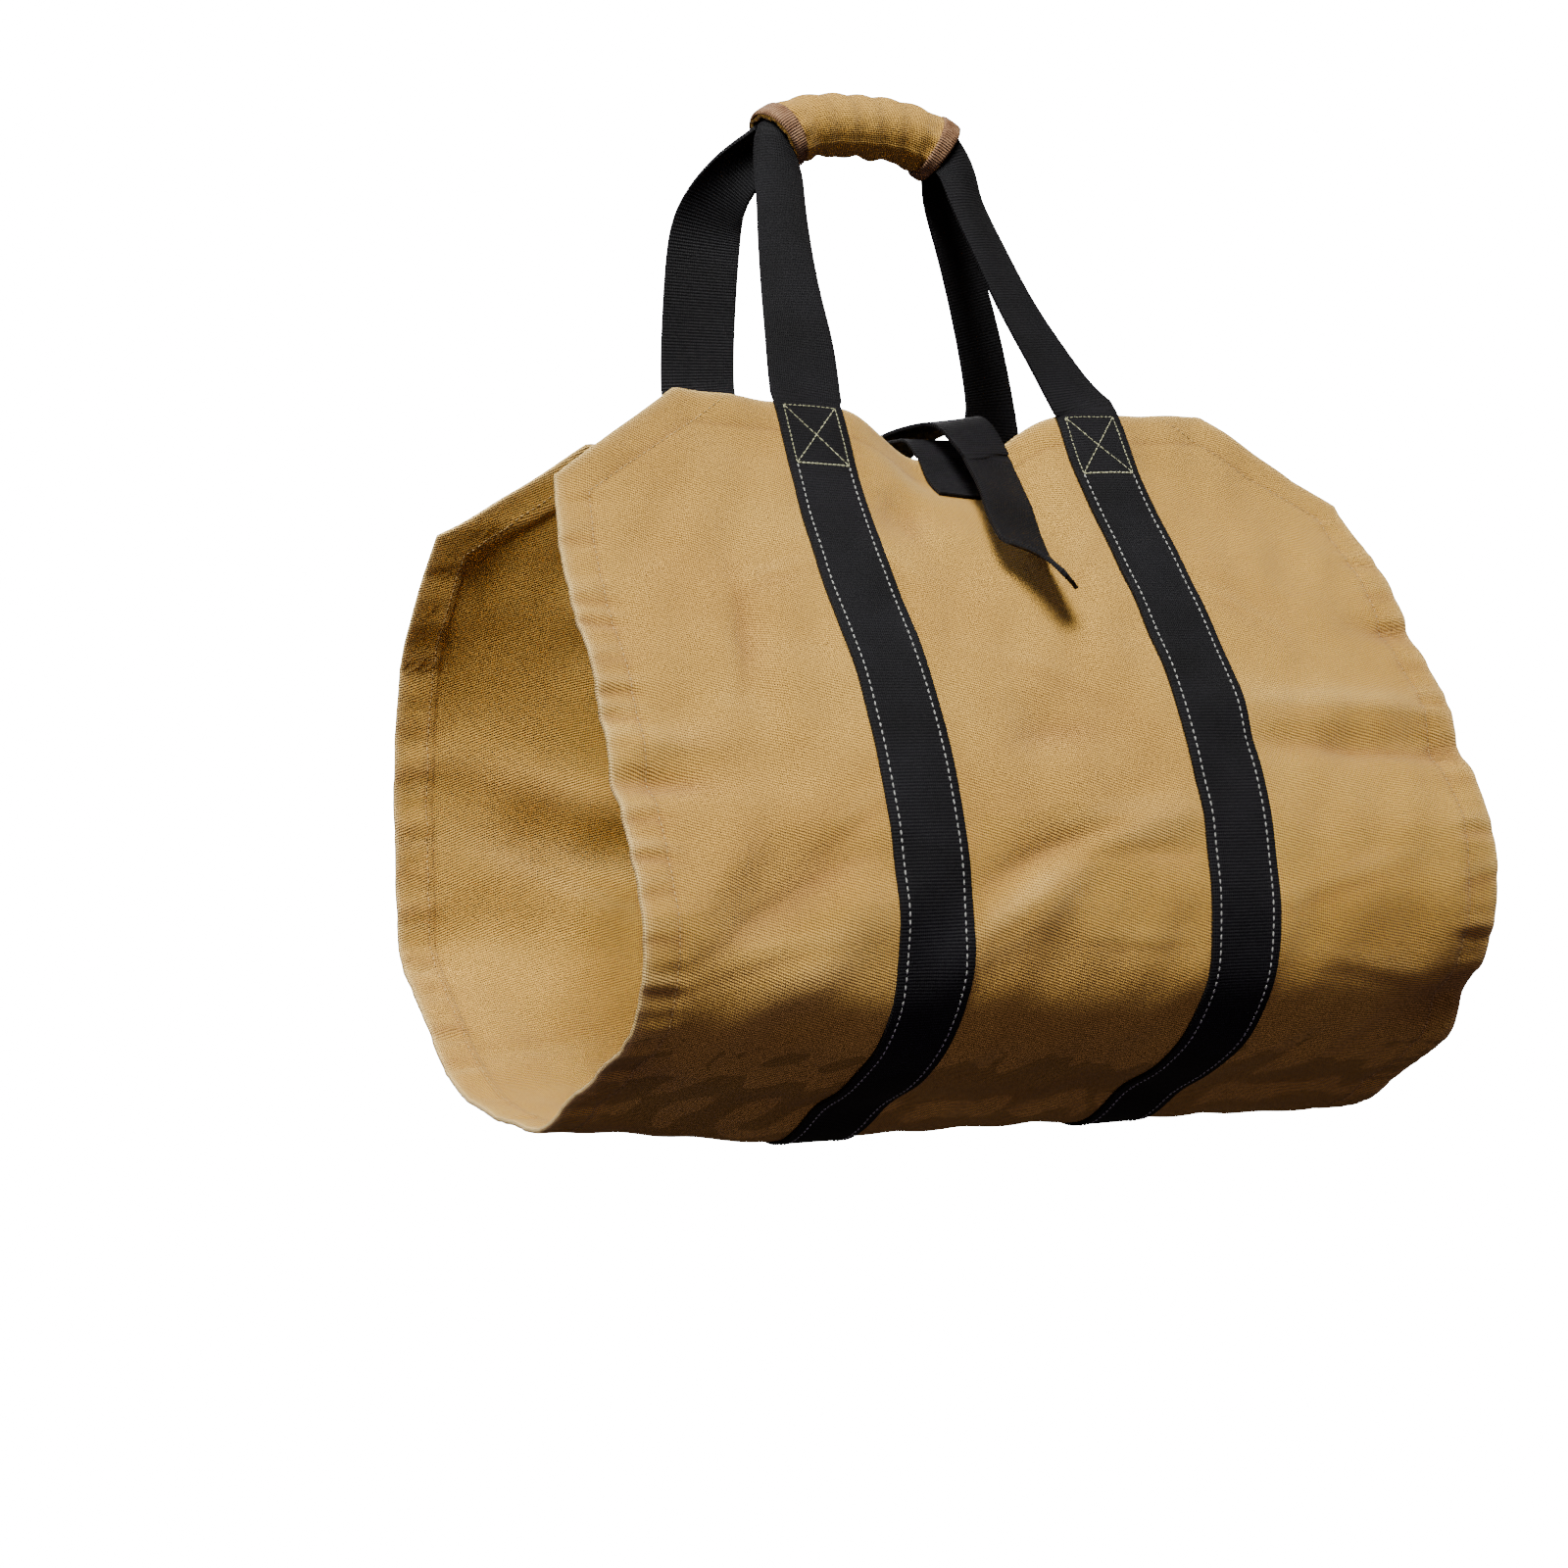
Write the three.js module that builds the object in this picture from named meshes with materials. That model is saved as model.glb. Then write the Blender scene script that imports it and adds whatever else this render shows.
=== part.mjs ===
// Canvas log carrier: one hemmed sheet of canvas hangs as an open-ended sling, with its short ends up.
// Two webbing straps are sewn round it, and two webbing handles rise from their ends into one grip.
// A sewn tab and a closure strap draw the two rims together over the mouth.
// Millimetres, +Z up, X along the logs, front panel towards -Y, origin in the middle of the hand grip.
import * as THREE from "three";

// Sizes of the canvas body as it hangs loaded
const canvasWidth = 460;
const bodyHeight = 355;
const bodyDepth = 288;
const rimGap = 100;
const cutAcross = 70;
const cutAlong = 54;
const clothWall = 1.6;
const hemWidth = 20;
const leftEndLift = 11;
const rightEndDrop = 3;
const leftRimLift = 8;
const rightRimLift = 5;
const bodyForward = 8;
const bodyAside = 4.5;
const rimGather = 0.05;
const gatherReach = 120;

// Sizes of the webbing
const webWidth = 38;
const webWall = 2;
const strapSpacing = 168;
const handleRise = 166;
const handleWall = 2.8;

// Sizes of the grip
const gripLength = 98;
const gripBore = 27;
const gripWall = 2.6;
const gripDroop = 12;
const bindingLength = 8;
const bindingWall = 1.2;

// Sizes of the closure
const closureWidth = 31;
const closureWall = 2;
const tabSewn = 36;
const strapSewn = 34;
const closureArch = 16;
const tailLength = 126;
const rimDrawnIn = 10;
const rimDrawnDown = 24;

// Clearance between pieces that are sewn or pressed together
const seamGap = 0.3;

// Shares of bodyHeight in which the lifts of the two ends fade out
const lowReach = 0.24;
const highReach = 0.3;

const halfWidth = canvasWidth / 2;
const halfDepth = bodyDepth / 2;
const strapCentre = strapSpacing / 2;
const gatherCentre = halfWidth / 8;
const rimHeight = -handleRise;
const bottomHeight = rimHeight - bodyHeight;

// Rows of the cross-section from the bottom to the rim, the same rows for the front and the back panel.
// level is a share of bodyHeight. belly is a share of half of bodyDepth, and mouth one of half of rimGap.
// The other columns are how much further the left and right end of each panel stand out, as shares of
// half of bodyDepth.
const sectionRows = [
  { level: 0, belly: 0, mouth: 0, frontL: 0, frontR: 0, backL: 0, backR: 0 },
  { level: 0.035, belly: 0.31, mouth: 0, frontL: 0.07, frontR: 0.05, backL: 0.03, backR: 0.02 },
  { level: 0.066, belly: 0.6, mouth: 0, frontL: 0.07, frontR: 0, backL: -0.05, backR: -0.02 },
  { level: 0.105, belly: 0.79, mouth: 0, frontL: 0.06, frontR: -0.02, backL: -0.09, backR: -0.04 },
  { level: 0.16, belly: 0.92, mouth: 0, frontL: 0.03, frontR: -0.01, backL: -0.09, backR: -0.04 },
  { level: 0.24, belly: 0.985, mouth: 0, frontL: 0.03, frontR: 0.03, backL: 0, backR: 0 },
  { level: 0.33, belly: 1, mouth: 0, frontL: -0.01, frontR: 0.05, backL: 0.14, backR: 0.05 },
  { level: 0.47, belly: 0.95, mouth: 0, frontL: -0.09, frontR: -0.02, backL: 0.15, backR: 0.05 },
  { level: 0.59, belly: 0.83, mouth: 0.05, frontL: -0.06, frontR: -0.05, backL: 0.21, backR: 0.07 },
  { level: 0.71, belly: 0.6, mouth: 0.27, frontL: -0.05, frontR: -0.05, backL: 0.25, backR: 0.08 },
  { level: 0.84, belly: 0.31, mouth: 0.58, frontL: 0, frontR: -0.08, backL: 0.17, backR: 0.05 },
  { level: 0.92, belly: 0.12, mouth: 0.87, frontL: 0.04, frontR: -0.08, backL: 0.09, backR: 0.02 },
  { level: 1, belly: 0, mouth: 1, frontL: 0.06, frontR: -0.06, backL: 0.05, backR: 0 },
];

// Folds and dents that stand out along the cloth's own face.
// across is a share of half of canvasWidth. along is a share of the way from the front rim (0) over the
// bottom (1) to the back rim (2). run and breadth are shares of half of canvasWidth, turn is in degrees
// from the X axis, rising to the right, and height is a share of half of bodyDepth, with dents negative.
const foldRows = [
  { name: "tab dimple", across: -0.2, along: 0.14, run: 0.08, breadth: 0.055, turn: 70, height: -0.04 },
  { name: "tab shoulder", across: -0.13, along: 0.07, run: 0.1, breadth: 0.05, turn: -35, height: 0.025 },
  { name: "standing crease", across: -0.65, along: 0.3, run: 0.16, breadth: 0.04, turn: 85, height: -0.024 },
  { name: "left hollow", across: -0.7, along: 0.58, run: 0.17, breadth: 0.08, turn: 30, height: -0.035 },
  { name: "left ridge", across: -0.6, along: 0.65, run: 0.2, breadth: 0.06, turn: 35, height: 0.025 },
  { name: "left hem crease", across: -0.92, along: 0.46, run: 0.14, breadth: 0.035, turn: 0, height: -0.03 },
  { name: "left hem ridge", across: -0.92, along: 0.42, run: 0.14, breadth: 0.035, turn: 0, height: 0.022 },
  { name: "belly hollow", across: -0.01, along: 0.41, run: 0.15, breadth: 0.07, turn: 5, height: -0.028 },
  { name: "middle crease", across: -0.05, along: 0.54, run: 0.2, breadth: 0.04, turn: 22, height: -0.026 },
  { name: "middle low ridge", across: 0.13, along: 0.52, run: 0.14, breadth: 0.045, turn: 5, height: 0.026 },
  { name: "middle long ridge", across: -0.17, along: 0.61, run: 0.2, breadth: 0.05, turn: 36, height: 0.034 },
  { name: "right ridge", across: 0.74, along: 0.4, run: 0.3, breadth: 0.05, turn: -3, height: 0.034 },
  { name: "right crease", across: 0.78, along: 0.445, run: 0.3, breadth: 0.04, turn: -3, height: -0.036 },
  { name: "right pocket", across: 0.95, along: 0.3, run: 0.12, breadth: 0.04, turn: -10, height: -0.03 },
  { name: "right end notch", across: 0.95, along: 0.74, run: 0.16, breadth: 0.07, turn: 20, height: -0.055 },
  { name: "left low corner", across: -0.95, along: 0.8, run: 0.14, breadth: 0.07, turn: -30, height: -0.03 },
  { name: "back crease", across: -0.62, along: 1.6, run: 0.28, breadth: 0.05, turn: 10, height: -0.032 },
  { name: "back ridge", across: -0.6, along: 1.53, run: 0.28, breadth: 0.06, turn: 8, height: 0.03 },
  { name: "back belly hollow", across: 0.04, along: 1.57, run: 0.22, breadth: 0.08, turn: -8, height: -0.03 },
  { name: "back low ridge", across: 0.7, along: 1.5, run: 0.24, breadth: 0.06, turn: -20, height: 0.032 },
  { name: "back fold", across: 0.74, along: 1.42, run: 0.24, breadth: 0.045, turn: -20, height: -0.032 },
];

// Runs of the handles from the rim (0) to the mouth of the grip (1). width is a share of webWidth, curl a
// share of the half-round that the web makes in the grip, and twist is in degrees towards the open end.
// bow and lean are how far the web stands out from a straight pull, away from the other panel and away
// from the middle of the carrier, as shares of handleRise.
const runRows = {
  frontLeft: [
    { share: 0, width: 1, curl: 0, twist: 0, bow: 0, lean: 0 },
    { share: 0.18, width: 0.96, curl: 0.02, twist: 4, bow: 0, lean: -0.02 },
    { share: 0.42, width: 0.78, curl: 0.08, twist: 14, bow: 0, lean: -0.02 },
    { share: 0.74, width: 0.66, curl: 0.28, twist: 18, bow: 0, lean: -0.02 },
    { share: 0.9, width: 0.74, curl: 0.7, twist: 8, bow: 0, lean: -0.015 },
    { share: 1, width: 0.8, curl: 1, twist: 0, bow: 0, lean: 0 },
  ],
  frontRight: [
    { share: 0, width: 1, curl: 0, twist: 0, bow: 0, lean: 0 },
    { share: 0.18, width: 0.94, curl: 0.02, twist: 14, bow: -0.02, lean: -0.035 },
    { share: 0.42, width: 0.78, curl: 0.08, twist: 16, bow: -0.03, lean: -0.06 },
    { share: 0.74, width: 0.7, curl: 0.28, twist: 18, bow: -0.02, lean: -0.055 },
    { share: 0.9, width: 0.74, curl: 0.7, twist: 8, bow: 0, lean: -0.01 },
    { share: 1, width: 0.8, curl: 1, twist: 0, bow: 0, lean: 0 },
  ],
  backLeft: [
    { share: 0, width: 1, curl: 0, twist: 0, bow: 0, lean: 0 },
    { share: 0.1, width: 1, curl: 0.01, twist: -18, bow: 0.04, lean: 0.035 },
    { share: 0.36, width: 1, curl: 0.02, twist: -22, bow: 0.17, lean: 0.03 },
    { share: 0.62, width: 1, curl: 0.06, twist: -22, bow: 0.21, lean: 0.03 },
    { share: 0.84, width: 0.8, curl: 0.5, twist: -18, bow: 0.08, lean: 0.07 },
    { share: 1, width: 0.8, curl: 1, twist: 0, bow: 0, lean: 0 },
  ],
  backRight: [
    { share: 0, width: 1, curl: 0, twist: 0, bow: 0, lean: 0 },
    { share: 0.14, width: 1, curl: 0.02, twist: -8, bow: 0, lean: 0.01 },
    { share: 0.36, width: 0.98, curl: 0.06, twist: -22, bow: 0.02, lean: 0.01 },
    { share: 0.66, width: 0.9, curl: 0.2, twist: -22, bow: 0.03, lean: -0.01 },
    { share: 0.86, width: 0.8, curl: 0.66, twist: -8, bow: 0.01, lean: 0 },
    { share: 1, width: 0.8, curl: 1, twist: 0, bow: 0, lean: 0 },
  ],
};

// The closure strap's tail in front of the carrier. down is a share of tailLength below the rim. off is how
// far it stands off the panel, aside how far it lies to the right of the carrier's middle and width how
// wide it is, all as shares of closureWidth. twist turns it towards the right and tip upwards, in degrees.
const tailRows = [
  { down: 0.05, off: 0.34, aside: 0.48, twist: 8, tip: 0, width: 1 },
  { down: 0.2, off: 0.29, aside: 0.5, twist: 12, tip: 0, width: 1 },
  { down: 0.4, off: 0.19, aside: 0.46, twist: 14, tip: 0, width: 1 },
  { down: 0.6, off: 0.14, aside: 0.36, twist: 14, tip: 0, width: 1 },
  { down: 0.74, off: 0.18, aside: 0.29, twist: 18, tip: 8, width: 1 },
  { down: 0.81, off: 0.28, aside: 0.31, twist: 30, tip: 30, width: 0.92 },
  { down: 0.9, off: 0.46, aside: 0.4, twist: 46, tip: 54, width: 0.72 },
  { down: 1, off: 0.6, aside: 0.47, twist: 54, tip: 64, width: 0.5 },
];

// The closure's two webs where they span the mouth. share runs from the rim that the web is sewn to, to
// the other rim, rise is a share of closureArch and aside one of closureWidth, and faceY and faceZ are the
// way that the web faces.
const tabSpanRows = [
  { share: 0.07, rise: 0.42, aside: 0, faceY: -0.9, faceZ: 0.4 },
  { share: 0.28, rise: 0.88, aside: 0, faceY: -0.45, faceZ: 0.9 },
  { share: 0.52, rise: 1, aside: 0, faceY: 0, faceZ: 1 },
];
const strapSpanRows = [
  { share: 0.12, rise: 0.7, aside: 0.04, faceY: 0.7, faceZ: 0.7 },
  { share: 0.42, rise: 1.2, aside: 0.12, faceY: 0.1, faceZ: 1 },
  { share: 0.75, rise: 1.2, aside: 0.24, faceY: -0.3, faceZ: 1 },
  { share: 1.04, rise: 0.85, aside: 0.38, faceY: -0.8, faceZ: 0.5 },
];

const clothLook = { color: 0xb98238, roughness: 0.85, metalness: 0 };
const webLook = { color: 0x15161a, roughness: 0.7, metalness: 0 };
const bindingLook = { color: 0x8a5a34, roughness: 0.8, metalness: 0 };

// Turns a share into a gentle step from 0 to 1.
function gentle(share) {
  return THREE.MathUtils.smoothstep(share, 0, 1);
}

// Reads a column of a table at a place between two of its rows.
function readRow(rows, key, at, column) {
  for (let i = 1; i < rows.length; i += 1) {
    if (at <= rows[i][key] || i === rows.length - 1) {
      const span = rows[i][key] - rows[i - 1][key];
      const share = THREE.MathUtils.clamp((at - rows[i - 1][key]) / span, 0, 1);
      return THREE.MathUtils.lerp(rows[i - 1][column], rows[i][column], share);
    }
  }
  return rows[0][column];
}

const curveSteps = 300;

// The cloth's cross-section at a place across, as a curve from the front rim over the bottom to the back rim.
function sectionCurve(x) {
  const beyondStrap = (Math.abs(x) - strapCentre) / (halfWidth - strapCentre);
  const share = gentle(beyondStrap);
  const left = x < 0 ? share : 0;
  const right = x > 0 ? share : 0;
  const lowShift = left * leftEndLift - right * rightEndDrop;
  const highShift = left * leftRimLift + right * rightRimLift;
  const rowPoint = (row, side) => {
    const ends =
      side < 0
        ? left * row.frontL + right * row.frontR
        : left * row.backL + right * row.backR;
    const depth = (row.belly + ends) * halfDepth + (row.mouth * rimGap) / 2;
    const low = lowShift * Math.max(0, 1 - row.level / lowReach);
    const high = highShift * Math.max(0, 1 - (1 - row.level) / highReach);
    const height = bottomHeight + row.level * bodyHeight + low + high;
    return new THREE.Vector3(0, side * depth - bodyForward, height);
  };
  const front = sectionRows.slice(1).reverse().map((row) => rowPoint(row, -1));
  const back = sectionRows.slice(1).map((row) => rowPoint(row, 1));
  const curve = new THREE.CatmullRomCurve3([...front, rowPoint(sectionRows[0], 1), ...back]);
  curve.curveType = "centripetal";
  curve.arcLengthDivisions = curveSteps;
  return curve;
}

// How far the folds lift the cloth at a place on the sheet.
function foldHeight(x, along, halfLength) {
  let height = 0;
  for (const fold of foldRows) {
    const turn = THREE.MathUtils.degToRad(fold.turn);
    const side = x - fold.across * halfWidth;
    const up = (fold.along - along) * halfLength;
    const lengthwise = side * Math.cos(turn) + up * Math.sin(turn);
    const sideways = up * Math.cos(turn) - side * Math.sin(turn);
    const reach = Math.hypot(lengthwise / fold.run, sideways / fold.breadth) / halfWidth;
    height += fold.height * halfDepth * Math.exp(-(reach ** 2));
  }
  return height;
}

// A point of the cloth's outer face, x across and way along its section from the front rim.
function clothPoint(x, way, curve, total) {
  const share = THREE.MathUtils.clamp(way / total, 0, 1);
  const point = curve.getPointAt(share);
  const tangent = curve.getTangentAt(share);
  const fromRim = Math.min(way, total - way);
  const nearRim = gentle(1 - fromRim / gatherReach);
  point.x = bodyAside + x - rimGather * nearRim * (x - gatherCentre);
  const height = foldHeight(x, (2 * way) / total, total / 2);
  point.y += tangent.z * height;
  point.z -= tangent.y * height;
  const besideClosure = Math.max(0, Math.abs(x) - closureWidth / 2) / closureWidth;
  const drawn = nearRim ** 2 * Math.exp(-(besideClosure ** 2));
  point.y -= Math.sign(way - total / 2) * rimDrawnIn * drawn;
  point.z -= rimDrawnDown * drawn;
  return point;
}

// Places across the sheet. The cut corners, hems, straps and closure each have columns of their own.
function acrossPlaces() {
  const hemEdge = halfWidth - hemWidth;
  const strapIn = strapCentre - webWidth / 2;
  const strapOut = strapCentre + webWidth / 2;
  const cutStart = halfWidth - cutAcross;
  const closureEdge = closureWidth / 2;
  const halfway = (low, high) => (low + high) / 2;
  const thirds = [1 / 3, 2 / 3].map((share) => THREE.MathUtils.lerp(cutStart, hemEdge, share));
  const inner = [closureEdge, halfway(closureEdge, strapIn), strapIn, strapCentre, strapOut];
  const outer = [halfway(strapOut, cutStart), cutStart, ...thirds, hemEdge - clothWall, hemEdge];
  const right = [...inner, ...outer, halfway(hemEdge, halfWidth), halfWidth];
  return [...right.map((x) => -x).reverse(), 0, ...right];
}

// Ways along one column: its ends follow the cut corners, and its hems have rows of their own.
const fieldRows = 52;
function alongPlaces(x, total) {
  const beyondCut = Math.abs(x) - (halfWidth - cutAcross);
  const cutSlope = cutAlong / cutAcross;
  const start = Math.max(0, beyondCut * cutSlope);
  const hem = Math.max(hemWidth, beyondCut * cutSlope + hemWidth * Math.hypot(1, cutSlope));
  const first = hem + clothWall;
  const last = total - first;
  const places = [start, (start + hem) / 2, hem, first];
  for (let i = 1; i < fieldRows; i += 1) places.push(THREE.MathUtils.lerp(first, last, i / fieldRows));
  return [...places, last, total - hem, total - (start + hem) / 2, total - start];
}

const cutLength = Math.hypot(cutAcross, cutAlong);

// The grid of the whole sheet: outer points, normals, and how far each point lies in from the cut edge.
function clothGrid() {
  const columns = acrossPlaces().map((x) => {
    const curve = sectionCurve(x);
    const total = curve.getLength();
    return alongPlaces(x, total).map((way) => {
      const point = clothPoint(x, way, curve, total);
      const fromEnd = Math.min(way, total - way);
      const fromSide = halfWidth - Math.abs(x);
      const fromCut = (fromEnd * cutAcross + fromSide * cutAlong - cutAcross * cutAlong) / cutLength;
      return { x, way, point, inside: Math.min(fromEnd, fromSide, fromCut) };
    });
  });
  columns.forEach((column, i) => {
    column.forEach((spot, j) => {
      const acrossLow = columns[Math.max(i - 1, 0)][j].point;
      const acrossHigh = columns[Math.min(i + 1, columns.length - 1)][j].point;
      const alongLow = column[Math.max(j - 1, 0)].point;
      const alongHigh = column[Math.min(j + 1, column.length - 1)].point;
      const acrossWay = acrossHigh.clone().sub(acrossLow);
      const alongWay = alongHigh.clone().sub(alongLow);
      spot.normal = alongWay.cross(acrossWay).normalize();
    });
  });
  return columns;
}

// A closed solid between two matching grids of points, the first of which faces out.
function solidBetween(outer, inner) {
  const wide = outer.length;
  const long = outer[0].length;
  const positions = [];
  for (const grid of [outer, inner]) {
    for (const column of grid) for (const point of column) positions.push(point.x, point.y, point.z);
  }
  const outside = (i, j) => i * long + j;
  const inside = (i, j) => wide * long + i * long + j;
  const index = [];
  const quad = (a, b, c, d) => index.push(a, b, c, a, c, d);
  for (let i = 0; i < wide - 1; i += 1) {
    for (let j = 0; j < long - 1; j += 1) {
      quad(outside(i, j), outside(i, j + 1), outside(i + 1, j + 1), outside(i + 1, j));
      quad(inside(i, j), inside(i + 1, j), inside(i + 1, j + 1), inside(i, j + 1));
    }
    quad(outside(i, 0), outside(i + 1, 0), inside(i + 1, 0), inside(i, 0));
    quad(outside(i, long - 1), inside(i, long - 1), inside(i + 1, long - 1), outside(i + 1, long - 1));
  }
  for (let j = 0; j < long - 1; j += 1) {
    quad(outside(0, j), inside(0, j), inside(0, j + 1), outside(0, j + 1));
    quad(outside(wide - 1, j), outside(wide - 1, j + 1), inside(wide - 1, j + 1), inside(wide - 1, j));
  }
  const geometry = new THREE.BufferGeometry();
  geometry.setAttribute("position", new THREE.Float32BufferAttribute(positions, 3));
  geometry.setIndex(index);
  geometry.computeVertexNormals();
  return geometry;
}

// Moves each spot of some columns of the cloth along its normal.
function offsetGrid(columns, distanceOf) {
  return columns.map((column) =>
    column.map((spot) => spot.point.clone().addScaledVector(spot.normal, distanceOf(spot))),
  );
}

const cloth = clothGrid();

// Canvas body: one cloth with its hem folded to the inside, so the border is two cloths thick.
function canvasBody() {
  const outer = offsetGrid(cloth, () => 0);
  const hemmed = (spot) => spot.inside < hemWidth + clothWall / 2;
  const inner = offsetGrid(cloth, (spot) => (hemmed(spot) ? -2 * clothWall : -clothWall));
  return solidBetween(outer, inner);
}

// Columns of the cloth that lie under the strap at one side.
function strapColumns(side) {
  const reach = webWidth / 2 + seamGap;
  return cloth.filter((column) => Math.abs(column[0].x - side * strapCentre) < reach);
}

// Sewn strap: a web that follows the cloth from the front rim round the bottom to the back rim.
function sewnStrap(side) {
  const columns = strapColumns(side);
  const outer = offsetGrid(columns, () => seamGap + webWall);
  const inner = offsetGrid(columns, () => seamGap);
  return solidBetween(outer, inner);
}

// The grip's middle line, level under the palm and drooping to its two mouths.
const gripSteps = 14;
const gripCurve = new THREE.CatmullRomCurve3(
  [-0.5, -0.4, -0.27, -0.12, 0, 0.12, 0.27, 0.4, 0.5].map((share) => {
    const droop = gripDroop * Math.abs(2 * share) ** 3;
    return new THREE.Vector3(share * gripLength, 0, -droop);
  }),
);

// Stations along the grip, the first and last step as long as a binding, each with its direction and its
// own upward vector.
function gripStations() {
  const stations = [];
  const bound = bindingLength / gripLength;
  for (let i = 0; i <= gripSteps; i += 1) {
    const between = THREE.MathUtils.lerp(bound, 1 - bound, (i - 1) / (gripSteps - 2));
    const share = THREE.MathUtils.clamp(between, 0, 1);
    const at = i === 0 ? 0 : i === gripSteps ? 1 : share;
    const tangent = gripCurve.getTangentAt(at);
    const up = tangent.clone().cross(new THREE.Vector3(0, 1, 0)).normalize();
    stations.push({ point: gripCurve.getPointAt(at), tangent, up });
  }
  return stations;
}

// A round wall swept through stations of the grip, its bore widened so that its flats keep the radius.
const gripSides = 16;
function gripSleeve(stations, innerRadius, outerRadius) {
  const flatFit = 1 / Math.cos(Math.PI / gripSides);
  const ring = (station, radius) => {
    const points = [];
    for (let i = 0; i < gripSides; i += 1) {
      const angle = (2 * Math.PI * (i + 0.5)) / gripSides;
      const point = station.point.clone();
      point.addScaledVector(station.up, radius * Math.sin(angle));
      point.y += radius * Math.cos(angle);
      points.push(point);
    }
    return points;
  };
  const loops = [
    ...stations.map((station) => ring(station, outerRadius)),
    ...stations.map((station) => ring(station, innerRadius * flatFit)).reverse(),
  ];
  const positions = loops.flat().flatMap((point) => [point.x, point.y, point.z]);
  const index = [];
  loops.forEach((loop, i) => {
    const next = (i + 1) % loops.length;
    for (let j = 0; j < gripSides; j += 1) {
      const beside = (j + 1) % gripSides;
      const a = i * gripSides + j;
      const b = next * gripSides + j;
      const c = next * gripSides + beside;
      const d = i * gripSides + beside;
      index.push(a, c, b, a, d, c);
    }
  });
  const geometry = new THREE.BufferGeometry();
  geometry.setAttribute("position", new THREE.Float32BufferAttribute(positions, 3));
  geometry.setIndex(index);
  geometry.computeVertexNormals();
  return geometry;
}

// The outer and inner face of a web with a given width and curl at each station. A station holds its
// point, its tangent and the way that the web faces.
function bandGrids(stations, wall, strips) {
  const leastCurl = 0.01;
  const outer = [];
  const inner = [];
  for (let i = 0; i <= strips; i += 1) {
    const outerColumn = [];
    const innerColumn = [];
    for (const station of stations) {
      const facing = station.facing.clone();
      facing.addScaledVector(station.tangent, -facing.dot(station.tangent)).normalize();
      const sideways = facing.clone().cross(station.tangent).normalize();
      const place = i / strips - 0.5;
      const angle = place * station.curl;
      const radius = station.curl > leastCurl ? station.width / station.curl : 0;
      const aside = radius ? radius * Math.sin(angle) : station.width * place;
      const sunk = radius ? radius * (1 - Math.cos(angle)) : 0;
      const middle = station.point.clone().addScaledVector(sideways, aside).addScaledVector(facing, -sunk);
      const normal = facing.clone().multiplyScalar(Math.cos(angle));
      normal.addScaledVector(sideways, Math.sin(angle));
      outerColumn.push(middle.clone().addScaledVector(normal, wall / 2));
      innerColumn.push(middle.clone().addScaledVector(normal, -wall / 2));
    }
    outer.push(outerColumn);
    inner.push(innerColumn);
  }
  return { outer, inner };
}

// Directions of a run of stations, from each one's neighbours unless it has its own.
function setTangents(stations) {
  stations.forEach((station, i) => {
    const before = stations[Math.max(i - 1, 0)].point;
    const after = stations[Math.min(i + 1, stations.length - 1)].point;
    station.tangent = station.tangent ?? after.clone().sub(before).normalize();
  });
}

// Handle: leaves the strap's end at one rim, curls into the grip, and comes down to the other strap.
// facing is -1 for the front handle and 1 for the back one.
const runSteps = 12;
const rimPull = 0.24;
const gripPull = 0.1;
const curlAngle = THREE.MathUtils.degToRad(150);
const curlRadius = gripBore / 2 - seamGap - handleWall / 2;
function handleRun(facing, side) {
  const column = strapColumns(side)[1];
  const atRim = facing < 0 ? column[0] : column[column.length - 1];
  const below = facing < 0 ? column[2] : column[column.length - 3];
  const upwards = atRim.point.clone().sub(below.point).normalize();
  const start = atRim.point.clone().addScaledVector(atRim.normal, seamGap + webWall / 2);
  start.addScaledVector(upwards, seamGap);
  const mouth = gripStations()[side < 0 ? 0 : gripSteps];
  const radial = new THREE.Vector3(0, facing, 0);
  const end = mouth.point.clone().addScaledVector(radial, curlRadius);
  const inwards = mouth.tangent.clone().multiplyScalar(-side);
  const length = start.distanceTo(end);
  const curve = new THREE.CubicBezierCurve3(
    start,
    start.clone().addScaledVector(upwards, length * rimPull),
    end.clone().addScaledVector(inwards, -length * gripPull),
    end,
  );
  const rows = runRows[(facing < 0 ? "front" : "back") + (side < 0 ? "Left" : "Right")];
  const stations = [];
  for (let i = 0; i < runSteps; i += 1) {
    const share = i / runSteps;
    const read = (column) => readRow(rows, "share", share, column);
    const point = curve.getPointAt(share);
    point.addScaledVector(radial, handleRise * smoothColumn(rows, share, "bow"));
    point.x += side * handleRise * smoothColumn(rows, share, "lean");
    const faces = atRim.normal.clone().lerp(radial, gentle(share));
    faces.x += side * Math.tan(THREE.MathUtils.degToRad(read("twist")));
    stations.push({ point, facing: faces, width: read("width") * webWidth, curl: read("curl") * curlAngle });
  }
  stations[0].tangent = upwards.clone().multiplyScalar(-side);
  return stations;
}

// A smooth reading of a column, through the table's rows as a curve.
function smoothColumn(rows, share, column) {
  const line = new THREE.SplineCurve(rows.map((row) => new THREE.Vector2(row.share, row[column])));
  const readings = 60;
  for (let i = 0; i <= readings; i += 1) {
    const point = line.getPoint(i / readings);
    if (point.x >= share) return point.y;
  }
  return 0;
}

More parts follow.
